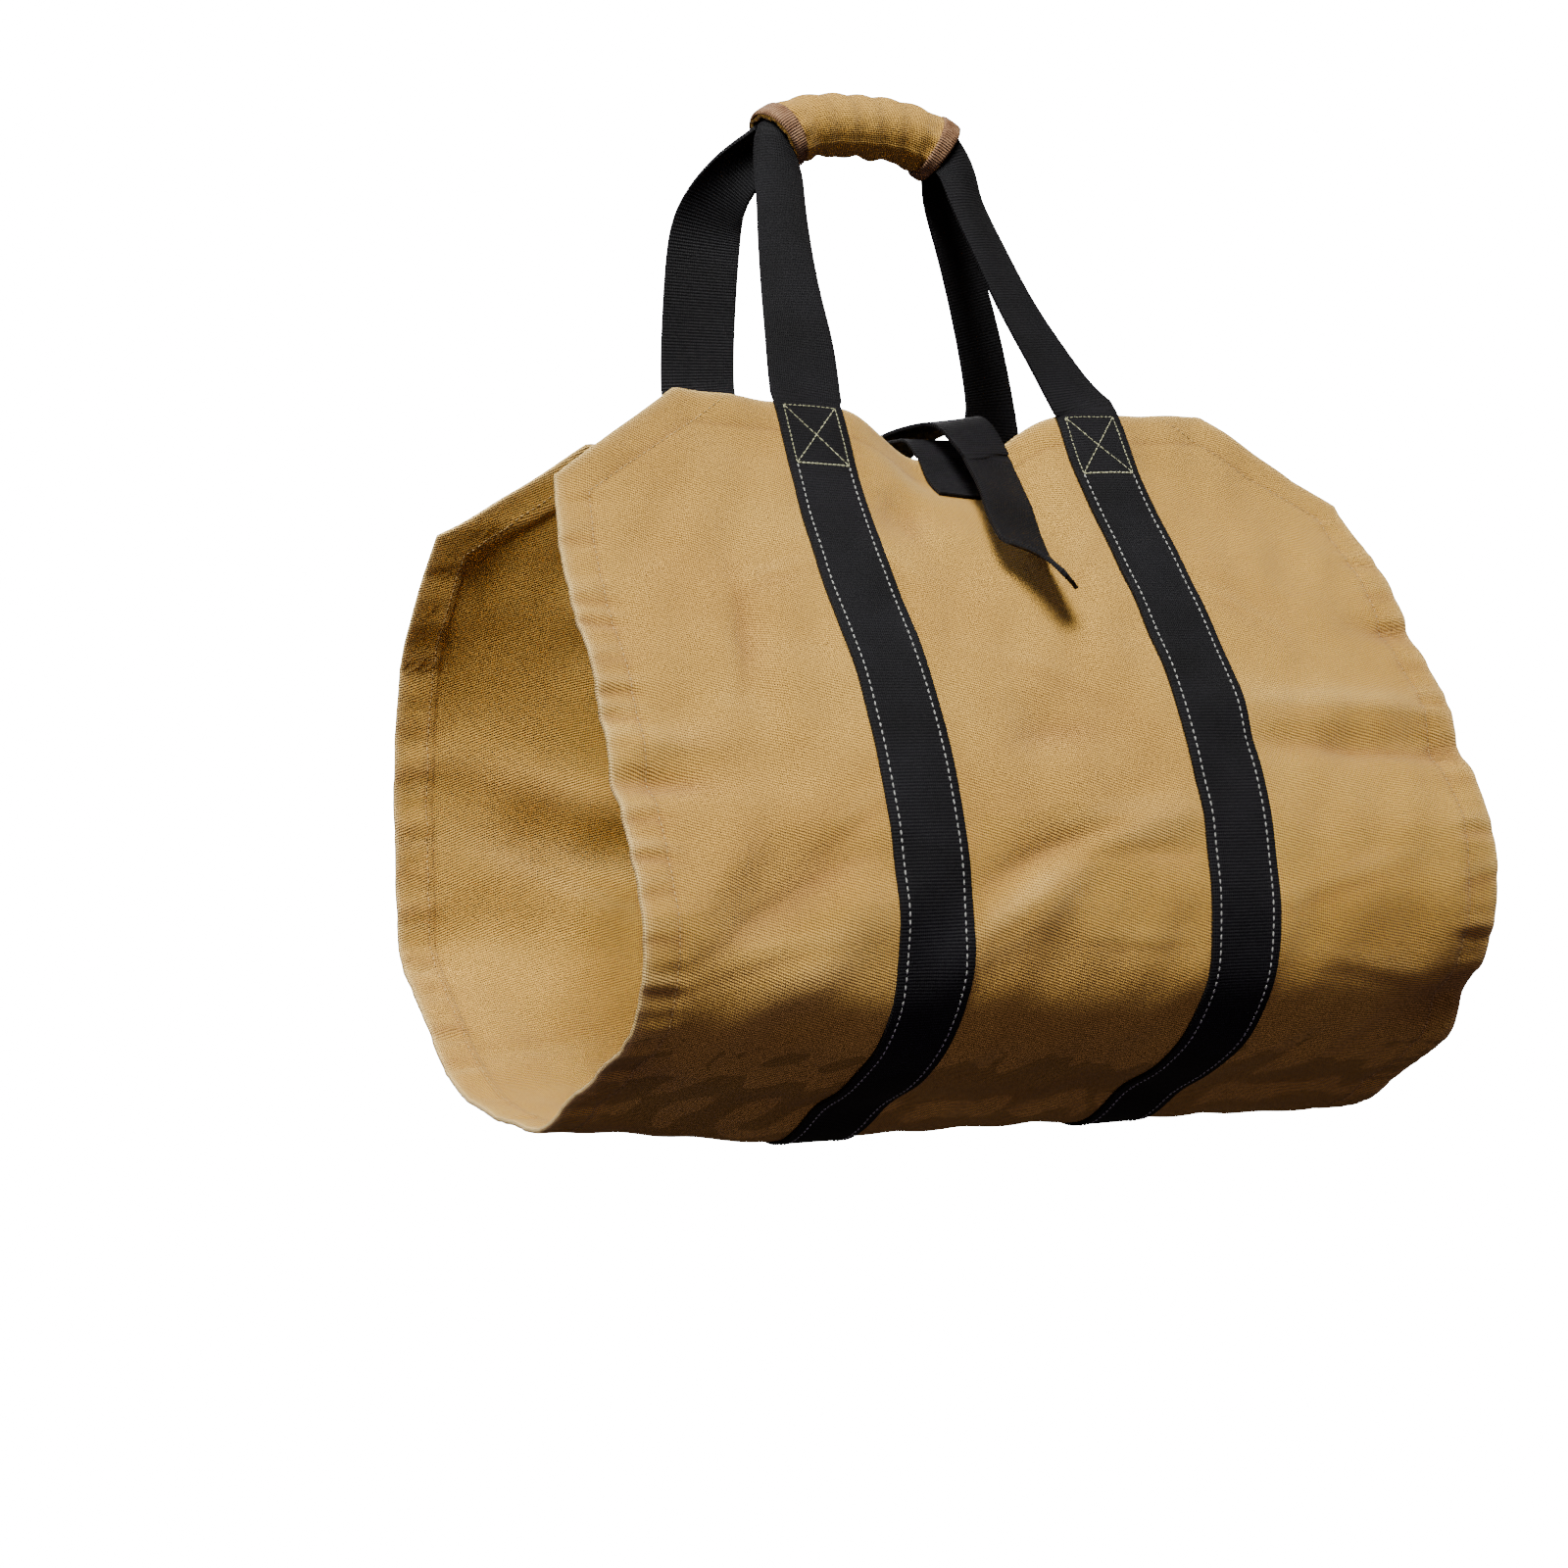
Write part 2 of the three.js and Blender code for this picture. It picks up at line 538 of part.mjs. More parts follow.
function handle(facing) {
  const middle = gripStations().map((station) => {
    const point = station.point.clone();
    point.y += facing * curlRadius;
    const radial = new THREE.Vector3(0, facing, 0);
    const tangent = station.tangent.clone();
    return { point, tangent, facing: radial, width: curlRadius * curlAngle, curl: curlAngle };
  });
  const stations = [...handleRun(facing, -1), ...middle, ...handleRun(facing, 1).reverse()];
  setTangents(stations);
  const strips = 6;
  const grids = bandGrids(stations, handleWall, strips);
  return solidBetween(grids.outer, grids.inner);
}

const slopeStep = 2;

// Points of the closure on the cloth's middle column, a given way below a rim and a distance off its face.
function closurePoint(below, off, facing) {
  const curve = sectionCurve(0);
  const total = curve.getLength();
  const way = facing < 0 ? below : total - below;
  const point = clothPoint(0, way, curve, total);
  const next = clothPoint(0, way - facing * slopeStep, curve, total);
  const down = next.sub(point).normalize();
  const normal = new THREE.Vector3(0, facing * -down.z, facing * down.y);
  return { point: point.clone().addScaledVector(normal, off), normal, width: closureWidth };
}

// The sewn end of a closure web, on the cloth's own middle columns from a way below the rim up to it.
function sewnGrid(below, facing, distance) {
  const reach = closureWidth / 2 + seamGap;
  const columns = cloth.filter((column) => Math.abs(column[0].x) < reach);
  if (facing < 0) columns.reverse();
  return columns.map((column) => {
    const total = column[column.length - 1].way;
    const spots = facing < 0 ? column : [...column].reverse();
    const fromRim = (spot) => (facing < 0 ? spot.way : total - spot.way);
    const kept = spots.filter((spot) => fromRim(spot) < below);
    const above = kept[kept.length - 1];
    const under = spots[kept.length];
    const share = (below - fromRim(above)) / (fromRim(under) - fromRim(above));
    const offset = (spot) => spot.point.clone().addScaledVector(spot.normal, distance);
    const end = offset(above).lerp(offset(under), share);
    return [end, ...kept.reverse().map(offset)];
  });
}

// A closure web: sewn below one rim, and from there laid freely through chosen points.
function closureWeb(below, facing, places, steps) {
  const curve = new THREE.CatmullRomCurve3(places.map((place) => place.point));
  curve.curveType = "centripetal";
  const stations = [];
  for (let i = 0; i <= steps; i += 1) {
    const at = (i / steps) * (places.length - 1);
    const low = Math.min(Math.floor(at), places.length - 2);
    const faces = places[low].normal.clone().lerp(places[low + 1].normal, at - low);
    const width = THREE.MathUtils.lerp(places[low].width, places[low + 1].width, at - low);
    stations.push({ point: curve.getPoint(i / steps), facing: faces, width, curl: 0 });
  }
  setTangents(stations);
  const strips = 2;
  const free = bandGrids(stations.slice(1), closureWall, strips);
  const outer = sewnGrid(below, facing, seamGap + closureWall);
  const inner = sewnGrid(below, facing, seamGap);
  return solidBetween(
    outer.map((column, i) => [...column, ...free.outer[i]]),
    inner.map((column, i) => [...column, ...free.inner[i]]),
  );
}

// Places of a closure web between its own rim and the other, with a clearance over what lies under it.
const onCloth = seamGap + closureWall / 2;
const overTab = closureWall + seamGap;
function spanPlaces(rows, facing, clearance) {
  const rim = closurePoint(0, onCloth, facing);
  const span = closurePoint(0, onCloth, -facing).point.y - rim.point.y;
  const places = rows.map((row) => ({
    point: new THREE.Vector3(
      rim.point.x + closureWidth * row.aside,
      rim.point.y + span * row.share,
      rim.point.z + closureArch * row.rise + clearance,
    ),
    normal: new THREE.Vector3(0, row.faceY, row.faceZ),
    width: closureWidth,
  }));
  return [rim, ...places];
}

// Closure tab: sewn on the front panel, over the rim and back across the mouth under the closure strap.
function closureTab() {
  const steps = 9;
  return closureWeb(tabSewn, -1, spanPlaces(tabSpanRows, -1, 0), steps);
}

// Closure strap: sewn on the back panel, over the tab, and down in front with its tail hanging free.
function closureStrap() {
  const steps = 32;
  const tail = tailRows.map((row) => {
    const place = closurePoint(row.down * tailLength, onCloth + overTab + row.off * closureWidth, -1);
    place.point.x += row.aside * closureWidth;
    place.normal.x += Math.tan(THREE.MathUtils.degToRad(row.twist));
    place.normal.z += Math.tan(THREE.MathUtils.degToRad(row.tip));
    place.normal.normalize();
    place.width = closureWidth * row.width;
    return place;
  });
  return closureWeb(strapSewn, 1, [...spanPlaces(strapSpanRows, 1, overTab), ...tail], steps);
}

const group = new THREE.Group();

function addPiece(name, geometry, look) {
  const mesh = new THREE.Mesh(geometry, new THREE.MeshStandardMaterial(look));
  mesh.name = name;
  group.add(mesh);
}

const stations = gripStations();
const sleeveInner = gripBore / 2;
const sleeveOuter = sleeveInner + gripWall;
const bindingInner = sleeveOuter + seamGap;
const gripBinding = (ends) => gripSleeve(ends, bindingInner, bindingInner + bindingWall);

addPiece("canvas_body", canvasBody(), clothLook);
addPiece("strap_left", sewnStrap(-1), webLook);
addPiece("strap_right", sewnStrap(1), webLook);
addPiece("handle_front", handle(-1), webLook);
addPiece("handle_back", handle(1), webLook);
addPiece("grip_wrap", gripSleeve(stations, sleeveInner, sleeveOuter), clothLook);
addPiece("grip_binding_left", gripBinding(stations.slice(0, 2)), bindingLook);
addPiece("grip_binding_right", gripBinding(stations.slice(-2)), bindingLook);
addPiece("closure_tab", closureTab(), webLook);
addPiece("closure_strap", closureStrap(), webLook);

export default group;
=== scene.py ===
import math
import bmesh
import bpy
import numpy as np
from mathutils import Matrix, Vector


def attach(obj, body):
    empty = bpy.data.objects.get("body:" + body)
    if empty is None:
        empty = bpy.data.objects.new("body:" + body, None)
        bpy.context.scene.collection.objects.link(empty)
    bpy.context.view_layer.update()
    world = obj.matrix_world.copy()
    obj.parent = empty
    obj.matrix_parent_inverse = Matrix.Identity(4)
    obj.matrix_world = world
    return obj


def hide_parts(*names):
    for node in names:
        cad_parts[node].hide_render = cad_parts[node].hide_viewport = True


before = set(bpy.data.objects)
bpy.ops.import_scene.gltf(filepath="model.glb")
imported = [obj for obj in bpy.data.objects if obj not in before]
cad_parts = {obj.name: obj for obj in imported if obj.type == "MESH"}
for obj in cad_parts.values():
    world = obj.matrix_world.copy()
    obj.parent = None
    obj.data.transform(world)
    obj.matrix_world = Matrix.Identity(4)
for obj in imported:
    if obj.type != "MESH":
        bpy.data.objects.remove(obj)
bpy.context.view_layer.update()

scene = bpy.context.scene


# A short table, with the names of its columns written once
def table(columns, *rows):
    return [dict(zip(columns.split(), row)) for row in rows]


# Camera, fitted to the photograph's straps, rims and ends
photoView = {
    "azimuth": math.radians(-26.7),
    "elevation": math.radians(-8.0),
    "roll": math.radians(-4.9),
    "distance": 1.719,
    "aside": 0.0809,
    "above": -0.1206,
    "targetAside": 0.0045,
    "targetHeight": -0.46865,
    "lens": 78.73,
    "sensor": 36.0,
}


def addCamera():
    a = photoView["azimuth"]
    e = photoView["elevation"]
    r = photoView["roll"]
    back = Vector((math.sin(a) * math.cos(e), -math.cos(a) * math.cos(e), math.sin(e)))
    levelRight = Vector((math.cos(a), math.sin(a), 0))
    levelUp = back.cross(levelRight)
    right = levelRight * math.cos(r) + levelUp * math.sin(r)
    up = levelUp * math.cos(r) - levelRight * math.sin(r)
    place = back * photoView["distance"] - right * photoView["aside"] - up * photoView["above"]
    place.x += photoView["targetAside"]
    place.z += photoView["targetHeight"]
    data = bpy.data.cameras.new("photoCamera")
    data.lens = photoView["lens"]
    data.sensor_width = photoView["sensor"]
    data.sensor_fit = "HORIZONTAL"
    data.clip_start = 0.05
    data.clip_end = 60
    camera = bpy.data.objects.new("photoCamera", data)
    turn = Matrix((right, up, back)).transposed()
    camera.matrix_world = Matrix.Translation(place) @ turn.to_4x4()
    scene.collection.objects.link(camera)
    scene.camera = camera


addCamera()

# The canvas, in metres, as it hangs loaded
cloth = {
    "width": 0.460,
    "height": 0.355,
    "depth": 0.288,
    "rimGap": 0.100,
    "rimHeight": -0.166,
    "cutAcross": 0.070,
    "cutAlong": 0.054,
    "hem": 0.020,
    "wall": 0.0012,
    "leftEndLift": 0.011,
    "rightEndDrop": 0.003,
    "leftRimLift": 0.008,
    "rightRimLift": 0.005,
    "lowReach": 0.24,
    "highReach": 0.3,
    "forward": 0.008,
    "aside": 0.0045,
    "gather": 0.05,
    "gatherReach": 0.12,
    "rimDrawnIn": 0.010,
    "rimDrawnDown": 0.024,
    "hemStitch": 0.0172,
    "rounding": 0.0007,
}
web = {
    "width": 0.038,
    "wall": 0.0019,
    "spacing": 0.168,
    "gap": 0.0002,
    "stitchInset": 0.0042,
    "boxTop": 0.0035,
    "boxBottom": 0.038,
    "rounding": 0.0006,
}
grip = {
    "length": 0.098,
    "droop": 0.012,
    "bore": 0.027,
    "clearance": 0.0003,
    "wall": 0.0026,
    "handleWall": 0.0028,
    "binding": 0.008,
    "bindingWall": 0.0015,
    "bindingRounding": 0.0004,
    "curl": math.radians(150),
}
closure = {
    "width": 0.031,
    "wall": 0.0019,
    "tabSewn": 0.036,
    "strapSewn": 0.034,
    "arch": 0.016,
    "tail": 0.126,
    "gap": 0.0002,
    "clearance": 0.0004,
    "rounding": 0.0006,
}
halfWidth = cloth["width"] / 2
halfDepth = cloth["depth"] / 2
strapCentre = web["spacing"] / 2
gatherCentre = halfWidth / 8
onCloth = web["gap"] + web["wall"] / 2
handleRadius = grip["bore"] / 2 - grip["handleWall"] / 2 - grip["clearance"]

# Cross-section of the canvas, a row for each level from the bottom to the rim. The last four columns are
# how much further the left and right end of each panel stand out, as shares of half of the depth.
sectionRows = table(
    "level belly mouth frontL frontR backL backR",
    (0, 0, 0, 0, 0, 0, 0),
    (0.035, 0.31, 0, 0.07, 0.05, 0.03, 0.02),
    (0.066, 0.6, 0, 0.07, 0, -0.05, -0.02),
    (0.105, 0.79, 0, 0.06, -0.02, -0.09, -0.04),
    (0.16, 0.92, 0, 0.03, -0.01, -0.09, -0.04),
    (0.24, 0.985, 0, 0.03, 0.03, 0, 0),
    (0.33, 1, 0, -0.01, 0.05, 0.14, 0.05),
    (0.47, 0.95, 0, -0.09, -0.02, 0.15, 0.05),
    (0.59, 0.83, 0.05, -0.06, -0.05, 0.21, 0.07),
    (0.71, 0.6, 0.27, -0.05, -0.05, 0.25, 0.08),
    (0.84, 0.31, 0.58, 0, -0.08, 0.17, 0.05),
    (0.92, 0.12, 0.87, 0.04, -0.08, 0.09, 0.02),
    (1, 0, 1, 0.06, -0.06, 0.05, 0),
)

# Broad folds. across, run and breadth are shares of half of the width, along runs from the front rim (0)
# over the bottom (1) to the back rim (2), turn is in degrees and height a share of half of the depth.
foldRows = table(
    "across along run breadth turn height",
    (-0.2, 0.14, 0.08, 0.055, 70, -0.04),
    (-0.13, 0.07, 0.1, 0.05, -35, 0.025),
    (-0.65, 0.3, 0.16, 0.04, 85, -0.024),
    (-0.7, 0.58, 0.17, 0.08, 30, -0.035),
    (-0.6, 0.65, 0.2, 0.06, 35, 0.025),
    (-0.92, 0.46, 0.14, 0.035, 0, -0.03),
    (-0.92, 0.42, 0.14, 0.035, 0, 0.022),
    (-0.01, 0.41, 0.15, 0.07, 5, -0.028),
    (-0.05, 0.54, 0.2, 0.04, 22, -0.026),
    (0.13, 0.52, 0.14, 0.045, 5, 0.026),
    (-0.17, 0.61, 0.2, 0.05, 36, 0.034),
    (0.74, 0.4, 0.3, 0.05, -3, 0.034),
    (0.78, 0.445, 0.3, 0.04, -3, -0.036),
    (0.95, 0.3, 0.12, 0.04, -10, -0.03),
    (0.95, 0.74, 0.16, 0.07, 20, -0.055),
    (-0.95, 0.8, 0.14, 0.07, -30, -0.03),
    (-0.62, 1.6, 0.28, 0.05, 10, -0.032),
    (-0.6, 1.53, 0.28, 0.06, 8, 0.03),
    (0.04, 1.57, 0.22, 0.08, -8, -0.03),
    (0.7, 1.5, 0.24, 0.06, -20, 0.032),
    (0.74, 1.42, 0.24, 0.045, -20, -0.032),
)


def gentle(share):
    share = np.clip(share, 0, 1)
    return share * share * (3 - 2 * share)


def unit(vectors):
    return vectors / np.linalg.norm(vectors, axis=-1, keepdims=True)


# How far each point of a line is from its start
def distances(line):
    return np.concatenate([[0], np.cumsum(np.linalg.norm(np.diff(line, axis=0), axis=-1))])


# Centripetal curve through points, with some samples for each span
def smoothLine(points, perSpan):
    points = np.asarray(points, dtype=float)
    first = 2 * points[0] - points[1]
    last = 2 * points[-1] - points[-2]
    padded = np.vstack([first, points, last])
    t = np.linspace(0, 1, perSpan, endpoint=False)[:, None]
    pieces = []
    for p0, p1, p2, p3 in zip(padded, padded[1:], padded[2:], padded[3:]):
        d0, d1, d2 = (max(np.linalg.norm(b - a), 1e-9) ** 0.5 for a, b in ((p0, p1), (p1, p2), (p2, p3)))
        start = ((p1 - p0) / d0 - (p2 - p0) / (d0 + d1) + (p2 - p1) / d1) * d1
        end = ((p2 - p1) / d1 - (p3 - p1) / (d1 + d2) + (p3 - p2) / d2) * d1
        square = -3 * p1 + 3 * p2 - 2 * start - end
        cube = 2 * p1 - 2 * p2 + start + end
        pieces.append(p1 + start * t + square * t**2 + cube * t**3)
    pieces.append(points[-1:])
    return np.vstack(pieces)


# Resamples a dense line evenly by its length
def evenly(line, count):
    length = distances(line)
    places = np.linspace(0, length[-1], count)
    even = np.stack([np.interp(places, length, line[:, k]) for k in range(line.shape[1])], axis=1)
    return even, length[-1]


def sectionPoints(x):
    share = float(gentle((abs(x) - strapCentre) / (halfWidth - strapCentre)))
    left = share if x < 0 else 0
    right = share if x > 0 else 0
    lowShift = left * cloth["leftEndLift"] - right * cloth["rightEndDrop"]
    highShift = left * cloth["leftRimLift"] + right * cloth["rightRimLift"]

    def rowPoint(row, side):
        panel = "front" if side < 0 else "back"
        ends = left * row[panel + "L"] + right * row[panel + "R"]
        depth = (row["belly"] + ends) * halfDepth + row["mouth"] * cloth["rimGap"] / 2
        low = lowShift * max(0, 1 - row["level"] / cloth["lowReach"])
        high = highShift * max(0, 1 - (1 - row["level"]) / cloth["highReach"])
        height = cloth["rimHeight"] + (row["level"] - 1) * cloth["height"] + low + high
        return (side * depth - cloth["forward"], height)

    front = [rowPoint(row, -1) for row in reversed(sectionRows[1:])]
    back = [rowPoint(row, 1) for row in sectionRows[1:]]
    return front + [rowPoint(sectionRows[0], 1)] + back


# The sections are worked out once, and each point of the cloth is read from the ones beside it
sectionCount = 185
shareCount = 801
sections = [evenly(smoothLine(sectionPoints(x), 30), shareCount)
            for x in np.linspace(-halfWidth, halfWidth, sectionCount)]
sectionTable = np.array([line for line, length in sections])
sectionTotal = np.array([length for line, length in sections])
print("sections from", round(float(sectionTotal.min()), 4), "to", round(float(sectionTotal.max()), 4), "m")


def totalAt(x):
    return np.interp(x, np.linspace(-halfWidth, halfWidth, sectionCount), sectionTotal)


def readSection(x, share):
    i = np.clip((x + halfWidth) / cloth["width"] * (sectionCount - 1), 0, sectionCount - 1.001)
    j = np.clip(share, 0, 1) * (shareCount - 1.001)
    i0 = i.astype(int)
    j0 = j.astype(int)
    fi = (i - i0)[..., None]
    fj = (j - j0)[..., None]
    low = sectionTable[i0, j0] * (1 - fj) + sectionTable[i0, j0 + 1] * fj
    high = sectionTable[i0 + 1, j0] * (1 - fj) + sectionTable[i0 + 1, j0 + 1] * fj
    return low * (1 - fi) + high * fi


# A place's ways along a fold and beside it, as shares of the fold's run and breadth
def besideFold(fold, x, along, total):
    turn = math.radians(fold["turn"])
    side = x - fold["across"] * halfWidth
    up = (fold["along"] - along) * total / 2
    lengthwise = side * math.cos(turn) + up * math.sin(turn)
    sideways = up * math.cos(turn) - side * math.sin(turn)
    return lengthwise / (fold["run"] * halfWidth), sideways / (fold["breadth"] * halfWidth)


def foldHeight(x, along, total):
    height = np.zeros_like(x)
    for fold in foldRows:
        lengthwise, sideways = besideFold(fold, x, along, total)
        height += fold["height"] * halfDepth * np.exp(-(lengthwise**2) - sideways**2)
    return height


# Fine creases, with the columns of foldRows but their height in metres. bend curves a crease, and a ridge
# stands above each valley.
creaseRows = table(
    "across along run breadth turn height bend",
    (-0.55, 0.234, 0.09, 0.018, 23, 0.0011, 0.5),
    (-0.66, 0.31, 0.15, 0.018, 78, 0.0013, -0.6),
    (-0.7, 0.59, 0.24, 0.024, 28, 0.0015, 0.8),
    (-0.55, 0.53, 0.2, 0.02, 33, 0.0011, -0.6),
    (-0.73, 0.65, 0.16, 0.02, 12, 0.0012, 0.4),
    (-0.17, 0.615, 0.13, 0.02, 33, 0.0017, -0.5),
    (-0.05, 0.54, 0.2, 0.02, 19, 0.0015, 0.6),
    (0.12, 0.55, 0.13, 0.018, 2, 0.0012, 0.3),
    (0.12, 0.65, 0.13, 0.018, -3, 0.0011, -0.3),
    (-0.02, 0.42, 0.12, 0.03, 6, 0.0012, 0.5),
    (0.0, 0.36, 0.16, 0.02, -20, 0.0007, 0.5),
    (0.78, 0.41, 0.26, 0.02, -6, 0.0018, 0.4),
    (0.8, 0.452, 0.22, 0.016, -5, 0.0014, -0.4),
    (0.6, 0.6, 0.2, 0.02, 14, 0.0011, 0.5),
    (0.72, 0.7, 0.2, 0.024, -16, 0.0013, 0.5),
    (0.55, 0.28, 0.16, 0.02, -38, 0.0007, 0.4),
    (-0.3, 0.2, 0.12, 0.02, -52, 0.0008, 0.4),
    (0.22, 0.2, 0.12, 0.02, 48, 0.0008, -0.4),
    (-0.9, 0.461, 0.1, 0.02, -5, 0.0022, 0.3),
    (-0.18, 0.152, 0.07, 0.02, 80, 0.0012, 0.5),
    (-0.5, 1.5, 0.22, 0.022, 16, 0.0015, 0.5),
    (0.6, 1.56, 0.22, 0.022, -18, 0.0015, -0.5),
    (0.06, 1.44, 0.18, 0.022, 8, 0.0012, 0.5),
    (-0.74, 1.3, 0.2, 0.022, -24, 0.0012, 0.4),
    (0.78, 1.32, 0.2, 0.022, 20, 0.0012, -0.4),
)
# Puckers where a hem is drawn in, as places along from the front rim
hemPuckers = {
    -1: [0.188, 0.261, 0.285, 0.333, 0.367, 0.393, 0.419, 0.5, 0.54, 0.575, 0.62, 0.67, 0.73, 1.24, 1.29,
         1.36, 1.4, 1.46, 1.5, 1.55, 1.61, 1.66, 1.74],
    1: [0.204, 0.25, 0.293, 0.345, 0.397, 0.445, 0.489, 0.55, 0.6, 0.66, 0.71, 1.3, 1.35, 1.42, 1.47, 1.54,
        1.6, 1.68],
}
pucker = {
    "across": 0.965,
    "run": 0.055,
    "breadth": 0.017,
    "bend": 0.2,
    "turn": 7,
    "height": 0.0018,
    "growth": 0.0006,
}
for side, places in hemPuckers.items():
    for k, place in enumerate(places):
        size = k % 3
        turn = side * pucker["turn"] * (size - 1)
        height = pucker["height"] + pucker["growth"] * size
        across = side * pucker["across"]
        creaseRows.append(dict(pucker, across=across, along=place, turn=turn, height=height))


def creaseHeight(x, along, total):
    height = np.zeros_like(x)
    for crease in creaseRows:
        lengthwise, sideways = besideFold(crease, x, along, total)
        sideways = sideways + crease["bend"] * lengthwise**2
        profile = 0.7 * np.exp(-((sideways - 1.3) ** 2)) - np.exp(-(np.abs(sideways) ** 1.5))
        height += slack["crease"] * crease["height"] * profile * np.exp(-(lengthwise**2))
    return height


# How far a place on the sheet lies in from its cut edge
def insideOf(x, way, total):
    fromEnd = np.minimum(way, total - way)
    fromSide = halfWidth - np.abs(x)
    across = cloth["cutAcross"]
    along = cloth["cutAlong"]
    fromCut = (fromEnd * across + fromSide * along - across * along) / math.hypot(across, along)
    return np.minimum(np.minimum(fromEnd, fromSide), fromCut)


# Small slack of the cloth: soft waves all over, and puckers along the sewn hems
rng = np.random.default_rng(11)
slackWaves = [dict(angle=a, length=l, phase=p) for a, l, p in zip(
    rng.uniform(0, math.pi, 26), rng.uniform(0.028, 0.085, 26), rng.uniform(0, 2 * math.pi, 26))]
puckerWaves = table("length phase", (0.0233, 0.4), (0.0147, 2.1), (0.0092, 4.4))
slack = {
    "crease": 0.5,
    "wave": 0.00017,
    "pucker": 0.0003,
    "puckerPlace": 0.011,
    "puckerReach": 0.010,
    "seamDip": 0.0004,
    "seamWidth": 0.0022,
    "strapHold": 0.7,
    "closureReach": 0.05,
}


def slackHeight(x, way, total):
    height = np.zeros_like(x)
    for wave in slackWaves:
        run = x * math.cos(wave["angle"]) + way * math.sin(wave["angle"])
        height += slack["wave"] * np.sin(2 * math.pi * run / wave["length"] + wave["phase"])
    inside = insideOf(x, way, total)
    nearHem = np.exp(-((inside - slack["puckerPlace"]) / slack["puckerReach"]) ** 2)
    # the puckers of the two ends differ, and none are quite regular
    uneven = np.sign(x) * 1.7 + 9 * np.sin(way * 11)
    puckers = np.zeros_like(x)
    for wave in puckerWaves:
        puckers += np.sin(2 * math.pi * way / wave["length"] + wave["phase"] + uneven)
    onSides = gentle((np.abs(x) - halfWidth * 0.78) / (halfWidth * 0.1))
    height += slack["pucker"] * puckers * nearHem * onSides
    height -= slack["seamDip"] * np.exp(-((inside - cloth["hemStitch"]) / slack["seamWidth"]) ** 2)
    underStrap = np.exp(-((np.abs(x) - strapCentre) / (web["width"] * 0.55)) ** 4)
    nearRim = gentle(1 - np.minimum(way, total - way) / slack["closureReach"])
    nearClosure = np.exp(-(x / closure["width"]) ** 2) * nearRim
    height += creaseHeight(x, 2 * way / total, total)
    return height * (1 - slack["strapHold"] * underStrap) * (1 - nearClosure)


# Points of the cloth's outer face, from places across and ways down from the front rim
def clothAt(x, way):
    x = np.asarray(x, dtype=float)
    way = np.asarray(way, dtype=float)
    total = totalAt(x)
    share = way / total
    step = 1 / shareCount
    middle = readSection(x, share)
    tangent = readSection(x, share + step) - readSection(x, share - step)
    tangent /= np.maximum(np.linalg.norm(tangent, axis=-1, keepdims=True), 1e-9)
    height = foldHeight(x, 2 * share, total) + slackHeight(x, way, total)
    nearRim = gentle(1 - np.minimum(way, total - way) / cloth["gatherReach"])
    y = middle[..., 0] + tangent[..., 1] * height
    z = middle[..., 1] - tangent[..., 0] * height
    beside = np.maximum(0, np.abs(x) - closure["width"] / 2) / closure["width"]
    drawn = nearRim**2 * np.exp(-(beside**2))
    y -= np.sign(way - total / 2) * cloth["rimDrawnIn"] * drawn
    z -= cloth["rimDrawnDown"] * drawn
    gathered = cloth["aside"] + x - cloth["gather"] * nearRim * (x - gatherCentre)
    return np.stack([gathered, y, z], axis=-1)


def clothNormal(x, way):
    step = 0.0015
    right = clothAt(np.minimum(x + step, halfWidth), way)
    acrossWay = right - clothAt(np.maximum(x - step, -halfWidth), way)
    total = totalAt(x)
    alongWay = clothAt(x, np.minimum(way + step, total)) - clothAt(x, np.maximum(way - step, 0))
    return unit(np.cross(alongWay, acrossWay))


def gridUvs(across, along):
    return np.stack(np.broadcast_arrays(across[:, None], along[None, :]), axis=-1)


# Makes a sheet from a grid of points, with its UVs in metres. Its vertices lie row by row.
def gridSheet(name, points, uvs, closed=False, flip=False):
    wide, long = points.shape[:2]
    bm = bmesh.new()
    bmesh.ops.create_grid(bm, x_segments=wide - 1, y_segments=long - 1, size=1)
    uvLayer = bm.loops.layers.uv.new("metres")
    placeOf = {}
    for vert in bm.verts:
        i = round((vert.co.x + 1) / 2 * (wide - 1))
        j = round((vert.co.y + 1) / 2 * (long - 1))
        placeOf[vert] = (i, j)
    for vert, (i, j) in placeOf.items():
        vert.co = points[i, j]
    for face in bm.faces:
        for loop in face.loops:
            loop[uvLayer].uv = uvs[placeOf[loop.vert]]
        face.smooth = True
    if flip:
        bmesh.ops.reverse_faces(bm, faces=bm.faces[:])
    if closed:
        bmesh.ops.remove_doubles(bm, verts=bm.verts[:], dist=1e-6)
    mesh = bpy.data.meshes.new(name)
    bm.to_mesh(mesh)
    bm.free()
    piece = bpy.data.objects.new(name, mesh)
    scene.collection.objects.link(piece)
    return piece


# Gives a sheet its thickness, and rounds its cut edges
def addWall(piece, thickness, offset, rounding, group=None):
    wall = piece.modifiers.new("wall", "SOLIDIFY")
    wall.thickness = thickness
    wall.offset = offset
    if group:
        wall.vertex_group = group
    edge = piece.modifiers.new("rounding", "BEVEL")
    edge.width = rounding
    edge.segments = 2
    edge.limit_method = "ANGLE"
    edge.angle_limit = math.radians(45)
    edge.harden_normals = False


def finishPiece(piece, material, slot, *nodes):
    piece.data.materials.append(material)
    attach(piece, "root")
    if nodes:
        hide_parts(*nodes)
    print("made", piece.name, len(piece.data.polygons), "faces")
    return piece


# Node helpers for the materials
def setInputs(node, values):
    for name, value in values.items():
        node.inputs[name].default_value = value


